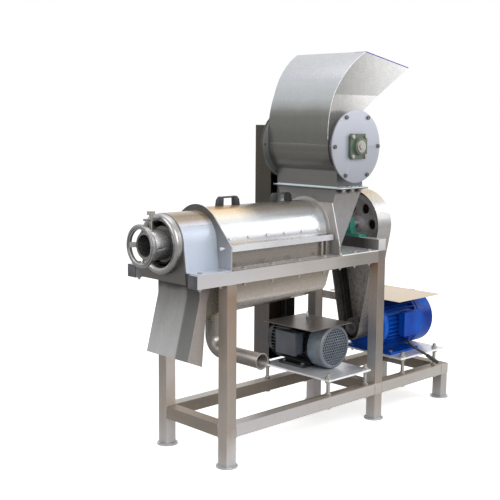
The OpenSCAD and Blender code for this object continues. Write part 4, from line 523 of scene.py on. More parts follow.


# Finishes of this machine. Besides each steel's own tone, their ramps paint shade, reflections and highlights by
# place and by the way a face looks
steelLooks = {
    # Frame tubes: darker on faces that look -X, shaded and lit tones on the middle, back and right legs' faces, a
    # brown top on the middle legs' -X faces: painted shade and painted reflection
    "tube": steelLook(
        layer("Z", 0, 0.78, [
            (0, 202, 205, 211), (0.09, 196, 197, 201), (0.2, 152, 145, 138), (0.55, 144, 133, 122),
            (0.85, 130, 112, 98), (1, 160, 154, 150),
        ], wobble=0.05),
        layer("Z", 0, 0.78, [
            (0, 190, 188, 188), (0.2, 150, 144, 139), (0.5, 112, 108, 104), (1, 104, 100, 98),
        ], within=[("X", 0.1, 0.3, 0.01), ("nY", -1.2, -0.5, 0.05)]),
        layer("Z", 0, 0.78, [
            (0, 214, 216, 222), (0.25, 200, 190, 182), (0.45, 206, 198, 192), (1, 190, 178, 166),
        ], within=[("Y", 0.1, 0.3, 0.01), ("nY", -1.2, -0.5, 0.05)]),
        layer("Z", 0, 0.78, [
            (0, 176, 174, 172), (0.5, 140, 134, 128), (1, 132, 126, 120),
        ], within=[("X", 0.5, 0.8, 0.01), ("nY", -1.2, -0.5, 0.05)]),
        layer("Z", 0, 0.78, [
            (0, 190, 192, 196), (0.12, 158, 154, 150), (0.4, 136, 129, 121), (1, 128, 120, 112),
        ], facing="-X", wobble=0.05),
        layer("Z", 0, 0.78, [
            (0, 196, 197, 200), (0.25, 178, 174, 172), (0.5, 132, 138, 148), (0.66, 150, 146, 142),
            (0.86, 150, 138, 128), (0.95, 156, 106, 72), (1, 150, 112, 84),
        ], within=[("X", 0.1, 0.3, 0.01), ("nX", -1.2, -0.5, 0.05)]),
        layer("Z", 0, 0.78, [
            (0, 180, 180, 182), (0.3, 150, 142, 134), (1, 140, 132, 124),
        ], facing="+X", wobble=0.06),
        warm=(172, 142, 116), warmth=0.3, patch=5, depth=0.05, rough=0.36, metal=0.4, across=260,
    ),
    # Rails: lighter at the left end, the top rails' front darker to the right, tops browner to the right, undersides
    # dark: painted reflection and painted shade
    "rail": steelLook(
        layer("X", -0.9, 0.75, [
            (0, 190, 188, 189), (0.35, 186, 183, 184), (0.6, 182, 178, 175), (0.8, 176, 173, 170),
            (1, 180, 177, 174),
        ], wobble=0.03),
        layer("X", -0.9, 0.5, [
            (0, 192, 191, 197), (0.3, 186, 183, 184), (0.55, 166, 162, 160), (0.66, 134, 131, 128),
            (0.9, 124, 121, 118), (1, 140, 136, 132),
        ], wobble=0.04, within=[("Z", 0.6, 0.8, 0.01)]),
        layer("X", -0.9, 0.75, [(0, 196, 194, 194), (0.5, 166, 156, 142), (1, 150, 134, 114)], facing="+Z"),
        layer("X", -0.9, 0.75, [(0, 120, 112, 104), (1, 112, 104, 96)], facing="-Z"),
        warm=(186, 170, 152), warmth=0.2, patch=4, depth=0.06, rough=0.34, metal=0.4, across=260,
    ),
    # Cross rails: tones by height, and on the tops browner toward -Y: painted shade and painted reflection
    "crossRail": steelLook(
        layer("Z", 0.1, 0.8, [(0, 120, 113, 104), (1, 128, 122, 116)], wobble=0.04),
        layer("Y", -0.2, 0.2, [(0, 126, 108, 88), (1, 152, 136, 118)], facing="+Z"),
        warm=(170, 146, 122), warmth=0.25, depth=0.06, rough=0.36, metal=0.4, across=260,
    ),
    # Bearing beam: light top edge and top faces, the -X face darkest in its middle: painted highlight and painted
    # shadow
    "beam": steelLook(
        layer("Z", 0.75, 0.81, [(0, 176, 174, 172), (1, 206, 206, 206)]),
        layer("Y", -0.21, 0.21, [
            (0, 150, 150, 150), (0.1, 120, 118, 116), (0.22, 64, 62, 60), (0.6, 74, 72, 70), (1, 90, 88, 84),
        ], facing="-X"),
        layer("Y", -0.21, 0.21, [(0, 220, 222, 224), (1, 200, 202, 204)], facing="+Z"),
        warm=(170, 156, 142), warmth=0.15, depth=0.05, rough=0.32, metal=0.4,
    ),
    # Foot plates: lighter toward their top: painted reflection
    "feet": steelLook(
        layer("Z", 0, 0.006, [(0, 176, 176, 180), (1, 206, 208, 212)]),
        warm=(150, 140, 128), warmth=0.35, patch=30, depth=0.1, rough=0.4, metal=0.5,
    ),
    # Sheet: darker on faces that look down: painted shade
    "sheet": steelLook(
        layer("nZ", -1, 1, [(0, 110, 104, 98), (0.45, 158, 156, 154), (0.6, 170, 168, 167), (1, 176, 172, 168)]),
        warm=(178, 164, 148), warmth=0.2, depth=0.05, rough=0.32, metal=0.5,
    ),
    # Plates: dark on faces that look down, near white on their sides and tops: painted shade and painted light
    "plate": steelLook(
        layer("nZ", -1, 1, [(0, 120, 116, 112), (0.5, 250, 252, 255), (0.8, 236, 238, 242), (1, 236, 238, 242)]),
        warm=(164, 160, 156), warmth=0.25, patch=9, depth=0.07, rough=0.3, metal=0.5,
    ),
    # Arch plate: its -X face darker toward the top, where it lies in shade, and faces that look down darker: painted
    # shade
    "archPlate": steelLook(
        layer("nZ", -1, 1, [(0, 120, 118, 116), (1, 206, 206, 210)]),
        layer("Z", 0.73, 1.013, [
            (0, 184, 188, 194), (0.2, 176, 179, 186), (0.45, 158, 159, 164), (0.75, 100, 97, 96), (0.9, 84, 81, 78),
            (1, 78, 76, 73),
        ], facing="-X", wobble=0.04),
        layer("Z", 0.73, 1.013, [(0, 160, 158, 158), (1, 136, 132, 128)], facing="+X"),
        warm=(160, 156, 152), warmth=0.15, depth=0.04, rough=0.3, metal=0.45,
    ),
    # End plate: dark all over, standing in for the shade on its -X face: painted shade
    "endPlate": steelLook(
        layer("Z", 0.728, 0.99, [(0, 94, 92, 90), (0.3, 82, 81, 79), (1, 110, 106, 102)]),
        warm=(108, 98, 88), warmth=0.3, depth=0.06, rough=0.34, metal=0.45,
    ),
    # Discharge film: darker toward +X, next to the arch plate, also on its top: painted shade
    "film": steelLook(
        layer("X", -0.865, -0.702, [
            (0, 188, 197, 213), (0.5, 188, 198, 214), (0.78, 186, 196, 210), (1, 170, 178, 188),
        ], wobble=0.04),
        layer("X", -0.865, -0.702, [(0, 196, 202, 214), (1, 176, 184, 196)], facing="+Z"),
        depth=0.015, rough=0.3, metal=0.15, bump=0.02,
    ),
    # Housing cover: by slope, a pale side, a tan-brown band and a lighter top: painted reflections
    "housingCover": steelLook(
        layer("nZ", 0, 1, [
            (0, 198, 204, 217), (0.5, 212, 217, 231), (0.66, 210, 210, 216), (0.78, 162, 148, 132),
            (0.9, 132, 114, 92), (1, 172, 160, 144),
        ], wobble=0.02),
        depth=0.03, rough=0.26, metal=0.4,
    ),
    # Barrel cover: light bands and a darker top by slope, a warm tan band at the left end, a darker +X end: painted
    # reflections and painted highlights
    "barrelCover": steelLook(
        layer("nZ", -0.05, 1, [
            (0, 200, 200, 204), (0.16, 224, 227, 234), (0.3, 206, 211, 219), (0.42, 186, 191, 199),
            (0.6, 192, 197, 202), (0.74, 184, 183, 182), (0.86, 152, 145, 136), (1, 112, 107, 101),
        ], wobble=0.015),
        layer("nZ", 0.55, 1, [
            (0, 222, 226, 230), (0.4, 255, 244, 228), (0.8, 240, 206, 160), (1, 180, 150, 116),
        ], share=0.85, within=[("X", -0.9, -0.5, 0.06)]),
        layer("Z", 0.84, 1, [(0, 186, 188, 192), (1, 150, 148, 146)], facing="+X"),
        depth=0.025, rough=0.24, metal=0.45, bump=0.05, patch=3.5,
    ),
    # Lower casing: dark on faces that look down, lighter on top: painted shade and painted light
    "casing": steelLook(
        layer("nZ", -1, 1, [(0, 96, 90, 84), (0.5, 134, 127, 121), (0.75, 150, 145, 142), (1, 198, 198, 200)]),
        depth=0.05, rough=0.28, metal=0.5,
    ),
    # Juice trough: a bright band round the lower curve and a dark bottom: painted highlight and painted shade
    "trough": steelLook(
        layer("nZ", 0.2, -1, [
            (0, 136, 127, 115), (0.2, 124, 116, 104), (0.46, 134, 126, 116), (0.6, 196, 188, 182),
            (0.72, 212, 204, 198), (0.84, 150, 146, 142), (0.94, 104, 101, 99), (1, 80, 78, 77),
        ], wobble=0.01),
        warm=(164, 146, 118), warmth=0.2, depth=0.03, rough=0.26, metal=0.4, bump=0.05,
    ),
    # Pomace chute: darkening to near black at its top under the housing, and darker near its -Y edge: painted shade
    "chute": steelLook(
        layer("Z", 0.4, 0.771, [
            (0, 170, 170, 170), (0.3, 158, 158, 157), (0.55, 140, 140, 138), (0.75, 112, 111, 108),
            (0.8, 54, 51, 48), (1, 28, 26, 24),
        ], wobble=0.05),
        layer("Z", 0.4, 0.771, [
            (0, 114, 114, 112), (0.5, 97, 97, 94), (0.8, 58, 54, 51), (1, 42, 39, 37),
        ], within=[("Y", -0.14, -0.05, 0.005)]),
        layer("Z", 0.4, 0.771, [
            (0, 158, 150, 146), (0.7, 150, 142, 138), (1, 124, 116, 110),
        ], facing="-Y", wobble=0.03),
        depth=0.08, rough=0.36, metal=0.35, across=200,
    ),
    # Crusher guard: the guard's own dark colour, and as well darker toward the bottom, dark olive on faces that look
    # -X and -Y and lighter on +X: painted shade
    "guardSheet": steelLook(
        layer("Z", 0.23, 1.32, [(0, 92, 90, 88), (1, 150, 146, 140)]),
        layer("Z", 0.23, 1.32, [
            (0, 80, 78, 78), (0.4, 66, 63, 59), (0.72, 50, 47, 39), (1, 54, 53, 43),
        ], facing="-X", wobble=0.06),
        layer("Z", 0.23, 1.32, [(0, 50, 48, 46), (1, 64, 54, 46)], facing="-Y"),
        layer("Z", 0.23, 1.32, [(0, 116, 114, 112), (1, 158, 156, 152)], facing="+X"),
        warm=(92, 60, 40), warmth=0.25, depth=0.1, rough=0.36, metal=0.35,
    ),
    # Press guard: lighter up to a cream top: painted highlight; its -X face pale low down where only bounced light
    # reaches, and dark brown high up beside the pulley: painted light and painted shade
    "pressGuard": steelLook(
        layer("Z", 0.32, 1.03, [
            (0, 96, 94, 92), (0.5, 122, 120, 118), (0.72, 150, 148, 148), (0.84, 166, 166, 170),
            (0.9, 214, 213, 216), (0.96, 222, 212, 194), (1, 214, 194, 164),
        ], wobble=0.02),
        layer("Z", 0.32, 1.03, [
            (0, 196, 190, 186), (0.5, 196, 191, 186), (0.57, 160, 150, 140), (0.64, 84, 66, 56), (1, 84, 60, 52),
        ], facing="-X"),
        warm=(150, 132, 112), warmth=0.15, depth=0.04, rough=0.28, metal=0.4,
    ),
    # Hopper: lighter toward +X and on faces that look down, its -X face dark low down and light high up, its +Y face
    # darker low down: painted shade and painted reflection; also a thin blue strip along the top edge of its -Y side
    "hopper": steelLook(
        layer("X", -0.1, 0.42, [
            (0, 134, 134, 134), (0.2, 150, 150, 150), (0.32, 168, 168, 168), (0.45, 184, 184, 184),
            (1, 204, 204, 205),
        ], wobble=0.03),
        layer("X", -0.1, 0.42, [
            (0, 156, 156, 156), (0.2, 172, 172, 172), (0.4, 192, 192, 192), (0.7, 220, 220, 220),
            (1, 242, 242, 243),
        ], wobble=0.03, within=[("nZ", -1.2, -0.07, 0.03)]),
        layer("Z", 1.232, 1.636, [
            (0, 90, 89, 84), (0.16, 94, 95, 90), (0.3, 98, 99, 94), (0.36, 116, 117, 113), (0.42, 150, 152, 151),
            (0.5, 172, 176, 179), (0.66, 184, 188, 192), (1, 188, 191, 196),
        ], facing="-X", wobble=0.012),
        layer("X", -0.1, 0.1, [(0, 182, 185, 190), (1, 188, 190, 194)], facing="+Z"),
        layer("Z", 1.232, 1.636, [(0, 136, 136, 134), (1, 188, 190, 192)], facing="+Y"),
        layer("Z", 1.5, 1.7, [
            (0, 52, 56, 150), (1, 60, 64, 160),
        ], within=[((0.174, 0, 0.985), 1.6266, 1.64, 0.0004), ("X", 0.108, 0.43, 0.002), ("Y", -0.2, -0.1, 0.01)]),
        depth=0.025, rough=0.26, metal=0.4, bump=0.04, patch=3,
    ),
    # Crusher drum: lighter toward the top, a dark dip on its -X face: painted shade; a thin near-white band at the
    # neck flange's edge: painted highlight
    "crusherDrum": steelLook(
        layer("Z", 1.05, 1.36, [
            (0, 112, 114, 116), (0.4, 108, 110, 112), (0.7, 140, 142, 144), (1, 170, 174, 180),
        ], wobble=0.02),
        layer("Z", 1.05, 1.36, [
            (0, 108, 107, 104), (0.32, 106, 105, 102), (0.4, 82, 80, 76), (0.5, 96, 95, 90), (1, 96, 95, 90),
        ], facing="-X", wobble=0.02),
        layer("Z", 1.04, 1.07, [(0, 214, 228, 232), (1, 206, 220, 226)], within=[("Z", 1.0515, 1.0585, 0.0005)]),
        depth=0.04, rough=0.3, metal=0.45,
    ),
    # Crusher discs: lighter toward the top; the back disc dark olive, as it lies in shade: painted shade
    "disc": steelLook(
        layer("Z", 1.08, 1.385, [
            (0, 146, 150, 159), (0.4, 160, 164, 174), (0.7, 168, 172, 183), (1, 174, 178, 189),
        ], wobble=0.03),
        layer("Z", 1.08, 1.385, [(0, 60, 58, 50), (1, 70, 69, 60)], within=[("Y", 0.1, 0.3, 0.01)]),
        depth=0.012, rough=0.34, metal=0.25, bump=0.02,
    ),
    # Feed chute: darker toward the top: painted shade; a hairline near-white band near its top: painted highlight
    "feedChute": steelLook(
        layer("Z", 0.775, 1.05, [
            (0, 122, 121, 124), (0.4, 110, 109, 113), (0.9, 80, 77, 75), (1, 74, 72, 70),
        ], wobble=0.05),
        layer("Z", 0.775, 1.05, [
            (0, 114, 112, 110), (0.6, 105, 104, 102), (0.93, 98, 97, 95), (1, 92, 91, 89),
        ], facing="-X", wobble=0.03),
        layer("Z", 1.03, 1.06, [(0, 206, 220, 226), (1, 214, 228, 232)], within=[("Z", 1.0505, 1.0508, 0.0003)]),
        depth=0.05, rough=0.32, metal=0.4,
    ),
    # Tan cover: darker on faces that look down, lightest on top: painted shade and painted light
    "coverTan": steelLook(
        layer("nZ", -1, 1, [(0, 120, 104, 90), (0.6, 196, 184, 166), (1, 222, 206, 184)]),
        warm=(212, 188, 156), warmth=0.35, depth=0.04, rough=0.36, metal=0.25,
    ),
    "coverBrown": steelLook(
        layer("X", -0.175, 0.088, [(0, 132, 126, 122), (0.4, 112, 102, 94), (1, 150, 146, 144)], wobble=0.1),
        warm=(108, 94, 80), warmth=0.4, patch=8, depth=0.08, rough=0.3, metal=0.45,
    ),
    # Bright steel: dark on faces that look down, light on faces that look up: painted shade and painted light
    "bright": steelLook(
        layer("nZ", -1, 1, [(0, 84, 82, 80), (0.35, 126, 125, 124), (0.6, 160, 159, 159), (1, 178, 176, 175)]),
        depth=0.03, rough=0.26, metal=0.8, bump=0.05,
    ),
    # Polished steel: dark on faces that look down, near white on faces that look up: painted shade and painted
    # highlight
    "darkBright": steelLook(
        layer("nZ", -1, 1, [(0, 84, 82, 80), (0.4, 150, 149, 150), (0.62, 212, 212, 214), (1, 226, 226, 226)]),
        depth=0.03, rough=0.22, metal=0.8, bump=0.05,
    ),
    # Outlet pipe: a near-white band on faces that look up at a slant, darker below: painted highlight and painted
    # shade
    "pipe": steelLook(
        layer("nZ", -1, 1, [
            (0, 98, 92, 88), (0.3, 112, 106, 102), (0.5, 128, 122, 118), (0.62, 166, 160, 156),
            (0.71, 230, 224, 220), (0.79, 226, 220, 216), (0.87, 164, 156, 150), (1, 176, 170, 164),
        ]),
        depth=0.02, rough=0.22, metal=0.2, bump=0.04,
    ),
    # Bolts: darker on faces that look down, lighter on faces that look up: painted shade and painted light
    "bolt": steelLook(
        layer("nZ", -1, 1, [(0, 120, 118, 114), (0.5, 170, 168, 165), (1, 208, 206, 203)]),
        warm=(150, 132, 108), warmth=0.3, patch=40, depth=0.08, rough=0.28, metal=0.8, across=900, along=900,
    ),
    # Pale steel: near white, lighter on faces that look up: painted highlight, used on the hopper's seam, the
    # lifting eye and the arch pin
    "pale": steelLook(
        layer("nZ", -1, 1, [(0, 196, 196, 196), (1, 250, 250, 250)]),
        depth=0.03, rough=0.3, metal=0.1,
    ),
    # Dark bolts: darker on faces that look down, lighter on faces that look up: painted shade and painted light
    "darkBolt": steelLook(
        layer("nZ", -1, 1, [(0, 50, 49, 50), (1, 116, 116, 118)]),
        warm=(76, 66, 58), warmth=0.3, patch=40, depth=0.1, rough=0.36, metal=0.6, across=900, along=900,
    ),
}
paintLooks = {
    "deepBlue": dict(
        dark=(2, 40, 124), light=(10, 86, 190), dustTone=(70, 110, 180), dust=0, rough=0.3, coat=0, shine=0.12,
    ),
    "boxBlue": dict(
        dark=(4, 56, 148), light=(12, 78, 178), dustTone=(90, 130, 196), dust=0, rough=0.3, coat=0, shine=0.12,
    ),
    # Crusher motor body: near black, well below the box's slate grey: painted shade between the fins
    "bodySlate": dict(
        dark=(14, 16, 20), light=(32, 35, 42), dustTone=(70, 76, 84), dust=0.15, rough=0.34, shine=0.35,
    ),
    "slateGrey": dict(dark=(46, 50, 60), light=(70, 76, 86), dustTone=(112, 118, 128), dust=0.2, rough=0.36),
    "cowlSlate": dict(dark=(98, 111, 122), light=(126, 139, 150), dustTone=(150, 160, 170), dust=0.2, rough=0.32),
    "cowlRim": dict(
        dark=(92, 101, 110), light=(132, 138, 142), dustTone=(150, 154, 156), dust=0.15, rough=0.32, metal=0.1,
    ),
    "lattice": dict(
        dark=(120, 128, 140), light=(152, 160, 172), dustTone=(170, 176, 184), dust=0.1, rough=0.36, metal=0.3,
    ),
    "bearingGreen": dict(dark=(52, 122, 108), light=(86, 158, 140), dustTone=(140, 174, 160), rough=0.4),
    "bearingOlive": dict(dark=(58, 72, 58), light=(92, 108, 92), dustTone=(130, 140, 130), rough=0.42),
}

def mixSteel(key, grain="X", centre=(0, 0, 0)):
    return makeSteel(key + "Steel" + (grain if len(grain) < 2 else "Turned"), steelLooks[key], grain, centre)


pressAxis, crusherAxis = (0, 0, 0.870), (0.026, 0, 1.232)
frameSteel = [mixSteel("rail", "X"), mixSteel("crossRail", "Y"), mixSteel("tube", "Z")]
plateSteel, pipeSteel = mixSteel("plate", "X"), mixSteel("pipe", "Y")
boltSteel, darkBolt, paleHighlightSteel = mixSteel("bolt", "Z"), mixSteel("darkBolt", "Z"), mixSteel("pale", "Z")
brightTurned = mixSteel("bright", "turnX", pressAxis)
darkTurned = mixSteel("darkBright", "turnX", pressAxis)
paints = {key: makePaint(key, look) for key, look in paintLooks.items()}
# press pulley in light grey tones, raised to make up for the press guard's shade over it: painted light
castPulley = makeCasting("castPulley", {"dark": (164, 162, 164), "light": (196, 194, 197), "stain": (170, 130, 108)})
castGrey = makeCasting("castGrey", {"dark": (92, 92, 94), "light": (132, 131, 132), "stain": (110, 96, 84)})
darkPlastic = makePlastic("darkPlastic", {"dark": (58, 57, 62), "light": (82, 81, 86), "rough": 0.5})
handlePlastic = makePlastic("handlePlastic", {"dark": (16, 17, 19), "light": (46, 50, 56), "rough": 0.36})
beltRubber = makePlastic("beltRubber", {"dark": (28, 27, 28), "light": (46, 44, 44), "rough": 0.7})
leadRubber = makePlastic("leadRubber", {"dark": (24, 24, 25), "light": (42, 42, 44), "rough": 0.45})

# The juice screen's rows of small round holes; the dark inside tone drawn in each hole paints the shade behind the
# screen
sieve = {"radius": 0.112, "pitch": 0.0045, "open": 0.27, "soft": 0.04, "inside": (30, 28, 26), "deep": 0.0012}


def makeScreenSteel(plan):
    # turned sheet with the holes drawn dark, as painted shade, and sunk
    made = makeSteel("screenSteel", steelLooks["sheet"], "turnX", pressAxis)
    tree = made.node_tree
    shader, coord, bump = (
        next(n for n in tree.nodes if n.type == kind) for kind in ("BSDF_PRINCIPLED", "TEX_COORD", "BUMP")
    )
    shift = {"Vector": coord.outputs["Object"], "Location": [-c for c in pressAxis]}
    apart = splitVector(tree, addNode(tree, "Mapping", shift).outputs[0])
    angle = addMath(tree, "ARCTAN2", apart["Y"], apart["Z"])
    row = addMath(tree, "MULTIPLY", angle, plan["radius"] / plan["pitch"])
    column = addMath(tree, "MULTIPLY", apart["X"], 1 / plan["pitch"])
    odd = addMath(tree, "MULTIPLY", addMath(tree, "FLOORED_MODULO", addMath(tree, "FLOOR", row), 2.0), 0.5)
    cells = [addMath(tree, "FRACT", addMath(tree, "ADD", column, odd)), addMath(tree, "FRACT", row)]
    gaps = [addMath(tree, "SUBTRACT", cell, 0.5) for cell in cells]
    away = measureVector(tree, joinVector(tree, X=gaps[0], Y=gaps[1]))
    hole = addRange(tree, away, plan["open"] + plan["soft"], plan["open"] - plan["soft"])
    colour = shader.inputs["Base Color"].links[0].from_socket
    put(tree, shader.inputs["Base Color"], addMix(tree, hole, colour, tone(*plan["inside"])))
    sinking = {"Height": hole, "Strength": 0.8, "Distance": plan["deep"], "Normal": bump.outputs[0]}
    sunk = addNode(tree, "Bump", sinking, invert=True)
    put(tree, shader.inputs["Normal"], sunk.outputs[0])
    return made


print("finishes mixed")

# Places that part one finish from another on the same piece
partings = {
    "railInside": 0.1605,  # half the space between the rails
    "ladder": 0.3,  # a solid along X that is wider than this is a pair of rails with its cross rails
    "bearingCap": 0.0268,
    "bearingBolts": (0.03, 0.0535),
    "discFaces": (-0.1922, -0.1779, 0.2, 0.2342),
    "eye": (0.006, 0.060),
    "eyeReach": 0.03,
    "eyeFoot": 0.4484,
}


def splitByLength(bm):
    # each loose solid takes the material whose grain runs along its own length
    seen = set()
    for start in bm.faces:
        if start in seen:
            continue
        patch, stack = [], [start]
        seen.add(start)
        while stack:
            face = stack.pop()
            patch.append(face)
            for edge in face.edges:
                for other in edge.link_faces:
                    if other not in seen:
                        seen.add(other)
                        stack.append(other)
        points = [v.co for f in patch for v in f.verts]
        sizes = [max(p[i] for p in points) - min(p[i] for p in points) for i in range(3)]
        axis = sizes.index(max(sizes))
        ladder = axis == 0 and sizes[1] > partings["ladder"]
        for face in patch:
            crossing = ladder and abs(face.calc_center_median().y) < partings["railInside"]
            face.material_index = 1 if crossing else axis


def splitBearing(bm):
    # bolts and caps of the flange bearings stay bare steel
    near, far = partings["bearingBolts"]
    for face in bm.faces:
        spots = [(abs(v.co.x - crusherAxis[0]), abs(v.co.z - crusherAxis[2])) for v in face.verts]
        capped = max(math.hypot(*spot) for spot in spots) < partings["bearingCap"]
        bolted = min(min(spot) for spot in spots) > near and max(max(spot) for spot in spots) < far
        if capped or bolted:
            face.material_index = 1


def splitDiscBolts(bm):
    # the bolts that stand proud of the two discs
    frontOut, frontIn, backIn, backOut = partings["discFaces"]
    for face in bm.faces:
        y = face.calc_center_median().y
        if y < frontOut or y > backOut or frontIn < y < backIn:
            face.material_index = 1


def splitEye(bm):
    # the lifting eye stands on the middle of the sheet, and is near white: a painted highlight
    x, y = partings["eye"]
    for face in bm.faces:
        spots = [v.co for v in face.verts]
        if all(p.z > partings["eyeFoot"] and math.hypot(p.x - x, p.y - y) < partings["eyeReach"] for p in spots):
            face.material_index = 1


crease = 32  # degrees at which an edge counts as sharp


def keepMesh(name, bm, materials, sharp=crease):
    for face in bm.faces:
        face.smooth = True
    mesh = bpy.data.meshes.new(name)
    bm.to_mesh(mesh)
    bm.free()
    for material in materials:
        mesh.materials.append(material)
    mesh.set_sharp_from_angle(angle=math.radians(sharp))
    return addObject(name, mesh)


def dress(node, materials, edge=0.0006, slotName="sheet_steel", split=None):
    # a merged copy of the CAD node with eased edges and its own finish
    source = cadNodes[node]
    bm = bmesh.new()
    bm.from_mesh(source.data)
    bmesh.ops.remove_doubles(bm, verts=bm.verts[:], dist=2e-6)
    bmesh.ops.dissolve_limit(bm, angle_limit=math.radians(0.5), verts=bm.verts[:], edges=bm.edges[:])
    for face in bm.faces:
        face.material_index = 0
    if split:
        split(bm)
    first, *rest = node.split("_")
    made = keepMesh(first + "".join(word.capitalize() for word in rest), bm, materials)
    if edge:
        bevel = made.modifiers.new("easedEdges", "BEVEL")
        bevel.width, bevel.segments = edge, 2
        bevel.limit_method, bevel.angle_limit = "ANGLE", math.radians(crease)
        bevel.harden_normals = True
        bevel.use_clamp_overlap = True
    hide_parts(node)
    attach(made, source["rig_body"])
    return made


# Node and finishes, then the width of its eased edges, its slot and what parts its finishes
pressRows = [
    ("leg_posts", frameSteel, 0.0022, "frame_steel", splitByLength),
    ("lower_rails", frameSteel, 0.0022, "frame_steel", splitByLength),
    ("top_rails", frameSteel, 0.0022, "frame_steel", splitByLength),
    ("bearing_beam", [mixSteel("beam", "Y")], 0.0022, "frame_steel"),
    ("rail_end_caps", [darkPlastic], 0.0012, "dark_plastic"),
    ("foot_plates", [mixSteel("feet", "X")], 0.0012, "frame_steel"),
    ("deck_plate", [plateSteel]),
    ("frame_bolts", [boltSteel], 0.0005, "bolt_steel"),
    ("plate_studs", [boltSteel], 0.0005, "bolt_steel"),
    ("end_plate", [mixSteel("endPlate", "Z")], 0.0008),
    ("discharge_ring", [brightTurned], 0.001, "polished"),
    ("discharge_housing", [mixSteel("film", "Z")], 0.0006, "blue_sheet"),
    ("housing_cover", [mixSteel("housingCover", "turnX", pressAxis)]),
    ("lock_screw", [boltSteel], 0.0005, "polished"),
    ("lock_pad", [boltSteel], 0.0005, "bronze"),
    ("handwheel", [brightTurned], 0.0015, "polished"),
    ("pressure_sleeve", [darkTurned], 0.0008, "polished"),
    ("pressure_cone", [darkTurned], 0.0008, "polished"),
    ("pomace_chute", [mixSteel("chute", "Z")]),
    ("arch_plate", [mixSteel("archPlate", "Z")], 0.0012),
    ("rear_plate", [mixSteel("sheet", "Z")], 0.0008),
    ("barrel_cover", [mixSteel("barrelCover", "X")]),
    ("cover_bolts", [plateSteel], 0.0004, "bolt_steel"),
    ("lower_casing", [mixSteel("casing", "X")]),
    ("juice_screen", [makeScreenSteel(sieve)], 0.0005),
    ("juice_trough", [mixSteel("trough", "X")]),
    ("outlet_pipe", [pipeSteel], 0.0006, "polished"),
    ("press_shaft", [darkTurned], 0.0008),
    ("press_flight", [brightTurned], 0),
    ("press_pulley", [castPulley], 0.001, "cast_pulley"),
    ("press_bearing", [paints["bearingGreen"]], 0.0015, "bearing_green"),
    ("press_belts", [beltRubber], 0.0008, "belt_rubber"),
    ("press_guard", [mixSteel("pressGuard", "Z")]),
    ("press_motor_body", [paints["deepBlue"]], 0.0006, "press_blue"),
    ("press_motor_cowl", [paints["deepBlue"]], 0.0006, "press_blue"),
    ("press_motor_box", [paints["boxBlue"]], 0.0015, "press_blue"),
    ("press_motor_rotor", [boltSteel], 0.0006, "bolt_steel"),
    ("press_motor_pulley", [castGrey], 0.0006, "cast_pulley"),
    ("press_motor_plate", [plateSteel], 0.0008),
    ("press_motor_cover", [mixSteel("coverTan", "X")], 0.0005),
]
crusherRows = [
    ("feed_chute", [mixSteel("feedChute", "Z")]),
    ("crusher_housing", [mixSteel("crusherDrum", "Y")]),
    ("hopper", [mixSteel("hopper", "Z")]),
    ("crusher_covers", [mixSteel("disc", "Z"), darkBolt], 0.0008, "sheet_steel", splitDiscBolts),
    ("crusher_bearings", [paints["bearingOlive"], boltSteel], 0.0012, "bearing_grey", splitBearing),
    ("crusher_rotor", [boltSteel], 0.0006, "bolt_steel"),
    ("crusher_pulley", [castGrey], 0.0006, "cast_pulley"),
    ("crusher_belts", [beltRubber], 0.0008, "belt_rubber"),
    ("crusher_guard", [mixSteel("guardSheet", "Z")], 0.0008),
    ("crusher_motor_body", [paints["bodySlate"]], 0.0006, "crusher_grey"),
    ("crusher_motor_box", [paints["slateGrey"]], 0.0015, "crusher_grey"),
    ("crusher_motor_rotor", [boltSteel], 0.0006, "bolt_steel"),
    ("crusher_motor_pulley", [castGrey], 0.0006, "cast_pulley"),
    ("crusher_motor_plate", [plateSteel], 0.0008),
    ("crusher_motor_cover", [mixSteel("coverBrown", "X"), paleHighlightSteel], 0.0005, "sheet_steel", splitEye),
]
for row in pressRows:
    dress(*row)
leadPiece.data.materials.append(leadRubber)
sleevePiece = dress("lead_sleeve", [leadRubber], 0.0012, "belt_rubber")
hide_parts("power_lead")
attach(leadPiece, "root")
for row in crusherRows:
    dress(*row)
print("pieces dressed")


def finishMesh(name, bm, materials, body, sharp=crease):
    bmesh.ops.recalc_face_normals(bm, faces=bm.faces[:])
    made = keepMesh(name, bm, materials, sharp)
    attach(made, body)
    return made


# Lifting handles: broad moulded feet with a slim bar between them
handles = {
    "places": (-0.5402, -0.2358),
    "base": 0.9985,
    "foot": [
        (-0.0605, 0.0), (-0.0285, 0.0), (-0.0275, 0.030), (-0.0275, 0.0373), (-0.0445, 0.0373), (-0.0560, 0.0250),
    ],
    "footHalf": 0.009,
    "bar": [(-0.0285, 0.0300), (0.0285, 0.0300), (0.0285, 0.0373), (-0.0285, 0.0373)],
    "barHalf": 0.006,
    "eased": 0.0016,
}


def addProfile(bm, outline, centre, half, mark):
    # a flat figure in X and Z drawn out along Y to both sides of centre
    x, z = centre
    near, far = ([bm.verts.new((x + a, side * half, z + b)) for a, b in outline] for side in (-1, 1))
    faces = [bm.faces.new(near), bm.faces.new(far[::-1])]
    for i in range(len(outline)):
        j = (i + 1) % len(outline)
        faces.append(bm.faces.new((near[j], near[i], far[i], far[j])))
    for face in faces:
        face.material_index = mark


def makeHandles(plan):
    bm = bmesh.new()
    for x in plan["places"]:
        centre = (x, plan["base"])
        addProfile(bm, plan["foot"], centre, plan["footHalf"], 0)
        addProfile(bm, [(-a, b) for a, b in plan["foot"]], centre, plan["footHalf"], 0)
        addProfile(bm, plan["bar"], centre, plan["barHalf"], 1)
    bmesh.ops.recalc_face_normals(bm, faces=bm.faces[:])
    bmesh.ops.bevel(
        bm, geom=bm.edges[:], offset=plan["eased"], segments=2, profile=0.6, affect="EDGES", clamp_overlap=True
    )
    made = finishMesh("coverHandles", bm, [handlePlastic, darkPlastic], "cover")
    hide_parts("cover_handles")


makeHandles(handles)
print("handles moulded")

